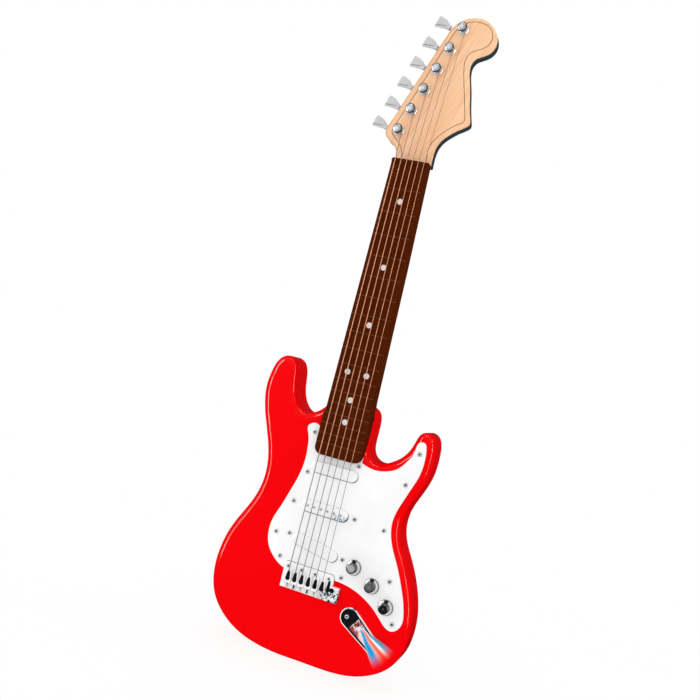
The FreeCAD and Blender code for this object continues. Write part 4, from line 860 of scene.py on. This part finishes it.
def make_bridge_trim():
    """Painted shade in the gap round the bridge plate's top, a painted shadow along its lower and right edges,
    painted shade marks on its height screws, and the dark arm socket at its right, partly painted shade.
    """
    inner, shoulder = BRIDGE_HALF - BRIDGE_CORNER, BRIDGE_TOP - BRIDGE_CORNER
    track = [Vector((-BRIDGE_HALF, BRIDGE_GAP_ENDS[0])), Vector((-BRIDGE_HALF, shoulder))]
    for side, first in ((-1, 180), (1, 90)):
        for step in range(9):
            angle = math.radians(first - 90 * step / 8)
            track.append(Vector((side * inner + BRIDGE_CORNER * math.cos(angle),
                                 shoulder + BRIDGE_CORNER * math.sin(angle))))
    track.append(Vector((BRIDGE_HALF, BRIDGE_GAP_ENDS[1])))
    # painted shade: black band in the gap between the scratch plate and the top of the bridge plate
    add_piece("bridge_gap", ribbon(track, 0.3, GUARD_TOP + 0.1, 0.12), "bridge_plate", "lamp_black")
    # painted shadow: dark red band on the body along the plate's lower and right edges
    edge = [Vector(p) for p in ((-BRIDGE_HALF, BRIDGE_FOOT), (BRIDGE_EAR_X, BRIDGE_FOOT),
                                (BRIDGE_EAR_X, BRIDGE_EAR_TOP))]
    add_piece("bridge_edge_shadow", ribbon(edge, 0.6, BODY_FRONT + 0.1, 0.12), "bridge_plate", "gap_red")
    # painted shade and reflection: short dark bars on the height screws under the saddles
    screw_shades = []
    for i in range(STRING_COUNT):
        x = string_x(i, BRIDGE_STRING_Z) + 0.6
        length, half = (3.6, 0.75) if i in LONG_SCREW_SHADES else (1.8, 0.4)
        track = [Vector((x, SCREW_SHADE_TOP)), Vector((x, SCREW_SHADE_TOP - length))]
        screw_shades.append(ribbon(track, half, front_of("bridge_screws") - 0.01, 0.1))
    add_piece("bridge_screw_shades", merged(screw_shades), "bridge_screws", "lamp_black")
    plate_front = front_of("bridge_plate")
    # dark slot at the plate's right: partly the arm socket, partly painted shade between the saddles and the
    # plate's flange
    slot = [drop_ring(*ARM_SLOT_AND_SHADE, -plate_front + lift) for lift in (-0.3, 0.15)]
    add_piece("bridge_arm_slot_shade", stacked(slot), "bridge_plate", "lamp_black")
    plug = aimed(lathe([(2.4, -0.6), (2.4, 0.1), (2.2, 0.15), (0.0, 0.12)], 28),
                 (BRIDGE_EAR_HOLE[0], plate_front, BRIDGE_EAR_HOLE[1]))
    add_piece("bridge_arm_plug", plug, "bridge_plate", "lamp_black")


# ---- Headstock ----------------------------------------------------------------------------------
def smooth_line(points, steps=5):
    """Points along a smooth curve through the given ones (Catmull-Rom)."""
    track = [Vector(p) for p in points]
    ends = [track[0] * 2 - track[1]] + track + [track[-1] * 2 - track[-2]]
    line = []
    for a, b, c, d in zip(ends, ends[1:], ends[2:], ends[3:]):
        for i in range(steps):
            t = i / steps
            line.append(0.5 * (2 * b + (c - a) * t + (2 * a - 5 * b + 4 * c - d) * t ** 2
                               + (3 * b - a - 3 * c + d) * t ** 3))
    return line + [track[-1]]


def make_head_line():
    """Printed line round the headstock inside its edge, and a fainter one along its keys' side."""
    for name, line, half, finish in (("headstock_line", HEAD_LINE, 0.34, "line_ink"),
                                     ("headstock_edge_line", HEAD_EDGE, 0.2, "line_soft")):
        skin = ribbon(smooth_line(line), half, HEAD_FRONT + 0.02, 0.09)
        add_piece(name, skin, "headstock_front", finish)


def make_post_cap(number):
    """Round button on a tuning post: dark flank, and a face whose blue-grey tone, bright middle and darker rings
    are a painted reflection.
    """
    node = f"tuner_post_{number}"
    middle = middle_of(node)
    origin = Vector((middle.x, HEAD_FRONT, middle.z))

    def part(label, profile, finish, shift):
        spot = origin + Vector((shift[0], 0, shift[1]))
        piece = add_piece(f"{node}_{label}", aimed(lathe(profile, 48), spot), node, finish)
        mark_reach(piece, spot, profile)

    part("button", [(3.9, 5.4), (4.7, 5.5), (5.0, 5.9), (5.0, 6.8), (4.7, 7.3), (4.2, 7.5),
                    (0, 7.5)], "post_dark", (0.0, 0.0))
    part("face", [(4.0, 7.2), (4.0, 7.5), (3.8, 7.75), (3.1, 8.0), (2.0, 8.15), (0, 8.2)],
         "post_blue", (-0.25, -0.15))


def width_at(table, reach):
    """Linear reading of a (reach, width) table."""
    for (a, low), (b, high) in zip(table, table[1:]):
        if reach <= b:
            return low + (high - low) * max(0.0, reach - a) / (b - a)
    return table[-1][1]


def make_key(number):
    """Tuning key: toothed pinion, shaft, collar and a flared grip with a fold along it, darkened by strips of
    painted shade.
    """
    node = f"tuner_key_{number}"
    joint = next(j for j in frame["joints"] if j["name"] == f"key_{number}_turn")
    start, way = Vector(joint["pos_m"]) / MM, Vector(joint["axis"])
    across = Vector((math.sin(KEY_TILT), 0, math.cos(KEY_TILT)))

    def tooth(radius, height, angle):
        on_pinion = radius > 1.9 and height < 6
        return 0.2 * math.cos(PINION_TEETH * angle) - 0.1 if on_pinion else 0.0

    stem = [(0.0, 3.0), (2.0, 3.0), (2.0, 5.2), (1.5, 5.2), (1.5, 15.4), (2.3, 15.4), (2.6, 15.7),
            (2.6, 17.2), (2.3, 17.5), (1.6, 17.8), (1.5, 19.0), (0.0, 19.0)]
    rings, fold_shade = [], []
    rows, columns = 18, 28
    for r in range(rows + 1):
        t = r / rows
        reach = GRIP_START + GRIP_LENGTH * t
        upper, lower = width_at(KEY_UPPER, reach), width_at(KEY_LOWER, reach)
        centre, half = (upper - lower) / 2, (upper + lower) / 2
        deep = 1.5 - 0.2 * t                   # half the grip's thickness
        if r in (0, rows):
            half, deep = half * 0.9, deep * 0.5
        crease = 1.3 - 5.0 * t                 # the fold crosses the grip on a slant
        crease_depth = 0.55 * min(1.0, 5 * t * (1.05 - t) + 0.2)
        ring = []
        for c in range(columns):
            angle = 2 * math.pi * c / columns
            u, v = math.cos(angle), math.sin(angle)
            spot = centre + half * math.copysign(abs(u) ** 0.75, u)
            dent = crease_depth * math.exp(-((spot - crease) / 0.8) ** 2)
            lift = math.copysign(max(0.0, abs(v) ** 0.6 * deep - dent), v)
            ring.append(start + way * reach + across * spot + Y_AXIS * lift)
        rings.append(ring)
        if 0 < r < rows:
            fold_shade.append((start + way * reach + across * crease, deep - 0.42))
    grip = merged([aimed(lathe(stem, 8 * PINION_TEETH, tooth), start, way), stacked(rings)])
    add_piece(f"{node}_grip", grip, node, "key_grey", [node], sharp=50.0)
    # painted shade: dark strips lying in the fold on both faces of the grip
    fold_shade_section = ((-0.55, -0.3), (-0.4, 0.08), (0.4, 0.08), (0.55, -0.3))
    for side, label in ((-1, "front"), (1, "back")):
        rings = [[place + across * w + Y_AXIS * side * (depth + h) for w, h in fold_shade_section]
                 for place, depth in fold_shade]
        add_piece(f"{node}_fold_{label}", stacked(rings), node, "key_shade")


# ---- Lamp ---------------------------------------------------------------------------------------
def window_ring(inset, height, steps=16):
    """Outline of the lamp's window: the lamp's own, set inwards and cut off at its upper end."""
    (x1, z1, r1), (x2, z2, r2) = LAMP_LARGE, LAMP_SMALL
    run = Vector((x2 - x1, z2 - z1))
    ahead = run.normalized()
    side = Vector((-ahead.y, ahead.x))
    lean = math.asin((r1 - r2) / run.length)
    big, small = r1 - inset, r2 - inset
    half_turn = math.pi - 2 * lean
    ring = []
    for i in range(steps + 1):
        angle = half_turn * (0.5 - i / steps)
        ring.append((run.length + small * math.cos(angle), small * math.sin(angle)))
    start = run.length * LAMP_CUT
    reach = big / math.cos(lean) - start * math.tan(lean)
    ring = [(start, reach)] + ring + [(start, -reach)]
    spots = [Vector((x1, z1)) + ahead * a + side * b for a, b in ring]
    return [Vector((p.x, BODY_FRONT - height, p.y)) for p in spots]


def make_lamp():
    """Window of the lamp: pale lip, black inner edge, bed lit by the diodes, clear lens."""
    pieces = [                     # name, node, finish, then its section as (inset, height)
        ("lamp_lip", "light_rim", "lamp_pale", [(0.5, 2.2), (0.55, 2.45), (0.9, 2.45),
                                                (0.95, 2.2)]),
        ("lamp_edge", "light_rim", "lamp_black", [(0.95, 2.1), (0.95, 2.4), (1.9, 2.45), (2.5, 2.1),
                                                  (2.6, 1.4)]),
        ("lamp_bed", "led_unit", "lamp_rays", [(1.6, -0.3), (1.6, 0.5), (2.8, 0.3)]),
        ("lamp_window", "light_lens", "lamp_lens", [(1.6, 0.9), (1.6, 1.3), (1.9, 1.55),
                                                    (2.8, 1.75)])]
    for name, node, finish, profile in pieces:
        skin = stacked([window_ring(*row) for row in profile], close=node != "light_rim")
        add_piece(name, skin, node, finish, [node] if node == "light_lens" else ())


def make_light_fan():
    """The lit lamp's beams, seen above the body past the lamp. They are light, not a part."""
    low, high = (math.radians(a) for a in FAN_SPAN)
    steps = 24
    points, faces = [], []
    for reach in FAN_REACH:
        for i in range(steps + 1):
            angle = low + (high - low) * i / steps
            points.append((LAMP_SOURCE[0] + reach * math.cos(angle), BODY_FRONT - FAN_HEIGHT,
                           LAMP_SOURCE[1] + reach * math.sin(angle)))
    for i in range(steps):
        faces.append((i, i + 1, steps + 2 + i, steps + 1 + i))
    mesh = new_mesh("light_fan", (points, faces))
    mesh.materials.append(fan_material("light_fan", True))
    fan = place_object("light_fan", mesh)
    fan.visible_shadow = False


# ---- Camera and light ---------------------------------------------------------------------------
CAMERA_TARGET = Vector((-15.9, -19.0, 311.5)) * MM
CAMERA_REACH = 0.85
CAMERA_YAW, CAMERA_PITCH, CAMERA_ROLL = 18.0, -1.3, -14.05
CAMERA_LENS = 43.71
DOME_LIGHT = 1.0
MIRROR_LOW, MIRROR_HIGH, MIRROR_BEHIND = 0.06, 0.5, 0.06       # what mirrors see of the dome

# Lights as name, azimuth, elevation, reach, size, power, colour. The mirror lights only shine.
KEY_LIGHT = ("key", -20, 14, 1.9, (1.0, 1.0), 2.5, (1.0, 1.0, 1.0))
MIRROR_LIGHTS = [
    ("left_strip", -47, 3, 1.5, (0.16, 1.3), 34.0, (1.0, 0.95, 0.85)),
    ("right_strip", 68, 4, 1.7, (0.13, 1.4), 18.0, (1.0, 0.95, 0.85)),
    ("top_strip", 5, 74, 1.6, (1.3, 0.2), 14.0, (1.0, 0.9, 0.8)),
    ("warm_side", 72, 30, 1.6, (0.5, 0.5), 4.0, (1.0, 0.5, 0.25))]
FLOOR_RADIUS = 0.9
FLOOR_GAP = 0.2                    # millimetres under the tail
FLOOR_GLOW = 0.88


def make_camera():
    yaw, pitch, roll = (math.radians(a) for a in (CAMERA_YAW, CAMERA_PITCH, CAMERA_ROLL))
    back = Vector((math.sin(yaw) * math.cos(pitch), -math.cos(yaw) * math.cos(pitch),
                   math.sin(pitch)))
    right = (-back).cross(Z_AXIS).normalized()
    up = back.cross(right)
    x = right * math.cos(roll) - up * math.sin(roll)
    y = right * math.sin(roll) + up * math.cos(roll)
    data = bpy.data.cameras.new("camera")
    data.lens = CAMERA_LENS
    data.sensor_width = 36.0
    data.clip_start, data.clip_end = 0.05, 30.0
    camera = place_object("camera", data)
    turn = Matrix((x, y, back)).transposed().to_4x4()
    camera.matrix_world = Matrix.Translation(CAMERA_TARGET + back * CAMERA_REACH) @ turn
    bpy.context.scene.camera = camera


def area_light(name, azimuth, elevation, reach, size, power, color):
    """Rectangular light that looks at the guitar; azimuth 0 is in front and 90 on the right."""
    middle = (cad_box[0] + cad_box[1]) / 2
    a, e = math.radians(azimuth), math.radians(elevation)
    way = Vector((math.sin(a) * math.cos(e), -math.cos(a) * math.cos(e), math.sin(e)))
    data = bpy.data.lights.new(name, "AREA")
    data.shape = "RECTANGLE"
    data.size, data.size_y = size
    data.energy = power
    data.color = color
    light = place_object(name, data)
    light.location = middle + way * reach
    light.rotation_mode = "QUATERNION"
    light.rotation_quaternion = (-way).to_track_quat("-Z", "Y")
    return light


def make_world():
    """Plain white to the camera, even white light for matt faces, dimmer shape for mirrors."""
    world = bpy.data.worlds.new("dome")
    bpy.context.scene.world = world
    world.use_nodes = True
    tree = world.node_tree

    def smooth_span(source, start, end, low, high):
        node = tree.nodes.new("ShaderNodeMapRange")
        node.interpolation_type = "SMOOTHSTEP"
        set_range(node, start, end, low, high)
        tree.links.new(source, node.inputs["Value"])
        return node.outputs["Result"]

    path = tree.nodes.new("ShaderNodeLightPath")
    split = tree.nodes.new("ShaderNodeSeparateXYZ")
    tree.links.new(tree.nodes.new("ShaderNodeTexCoord").outputs["Generated"], split.inputs[0])
    shape = tree.nodes.new("ShaderNodeMath")
    shape.operation = "MULTIPLY"
    by_height = smooth_span(split.outputs["Z"], -0.4, 0.7, MIRROR_LOW, MIRROR_HIGH)
    by_front = smooth_span(split.outputs["Y"], 0.35, -0.55, MIRROR_BEHIND, 1.0)
    tree.links.new(by_height, shape.inputs[0])
    tree.links.new(by_front, shape.inputs[1])
    mirrored = tree.nodes.new("ShaderNodeMix")
    mirrored.inputs["A"].default_value = DOME_LIGHT
    tree.links.new(path.outputs["Is Glossy Ray"], mirrored.inputs["Factor"])
    tree.links.new(shape.outputs[0], mirrored.inputs["B"])
    strength = tree.nodes.new("ShaderNodeMix")
    strength.inputs["B"].default_value = 1.0
    tree.links.new(path.outputs["Is Camera Ray"], strength.inputs["Factor"])
    tree.links.new(mirrored.outputs["Result"], strength.inputs["A"])
    background = tree.nodes["Background"]
    background.inputs["Color"].default_value = WHITE
    tree.links.new(strength.outputs["Result"], background.inputs["Strength"])


def make_floor():
    """Round pale floor just under the tail, which fades into the white dome."""
    disc = bmesh.new()
    bmesh.ops.create_circle(disc, cap_ends=True, segments=96, radius=FLOOR_RADIUS)
    mesh = bpy.data.meshes.new("floor")
    disc.to_mesh(mesh)
    disc.free()
    floor = place_object("floor", mesh)
    floor.location.z = cad_box[0].z - FLOOR_GAP * MM
    s = Shader("pale_floor", (0.12, 0.12, 0.12), 0.9, Specular_IOR_Level=0.0)
    s.color(s.ramp(s.noise(3.0, 3.0), [(0.3, (0.115, 0.115, 0.115)), (0.7, (0.125, 0.125, 0.125))]))
    s.set("Emission Color", WHITE)
    s.set("Emission Strength", FLOOR_GLOW)
    fade = s.fall(s.length(s.place), 0.12 * FLOOR_RADIUS, FLOOR_RADIUS)
    s.wire(s.math("POWER", fade, 2.0), s.main.inputs["Alpha"])
    mesh.materials.append(s.material)
    floor.visible_glossy = False


def make_studio():
    bpy.context.scene.view_settings.view_transform = "Standard"
    make_world()
    make_floor()
    area_light(*KEY_LIGHT).visible_glossy = False
    for settings in MIRROR_LIGHTS:
        area_light(*settings).visible_diffuse = False


make_camera()
make_studio()
dress_cad_nodes()
for knob_name in KNOB_TONES:
    make_knob(knob_name)
for pickup_name in PICKUP_TURN:
    make_pickup(pickup_name)
make_saddles()
make_bridge_trim()
for screws in ("face_screws", "bridge_screws"):
    make_screw_heads(screws)
make_head_line()
for tuner_number in range(1, STRING_COUNT + 1):
    make_key(tuner_number)
    make_post_cap(tuner_number)
make_lamp()
make_light_fan()
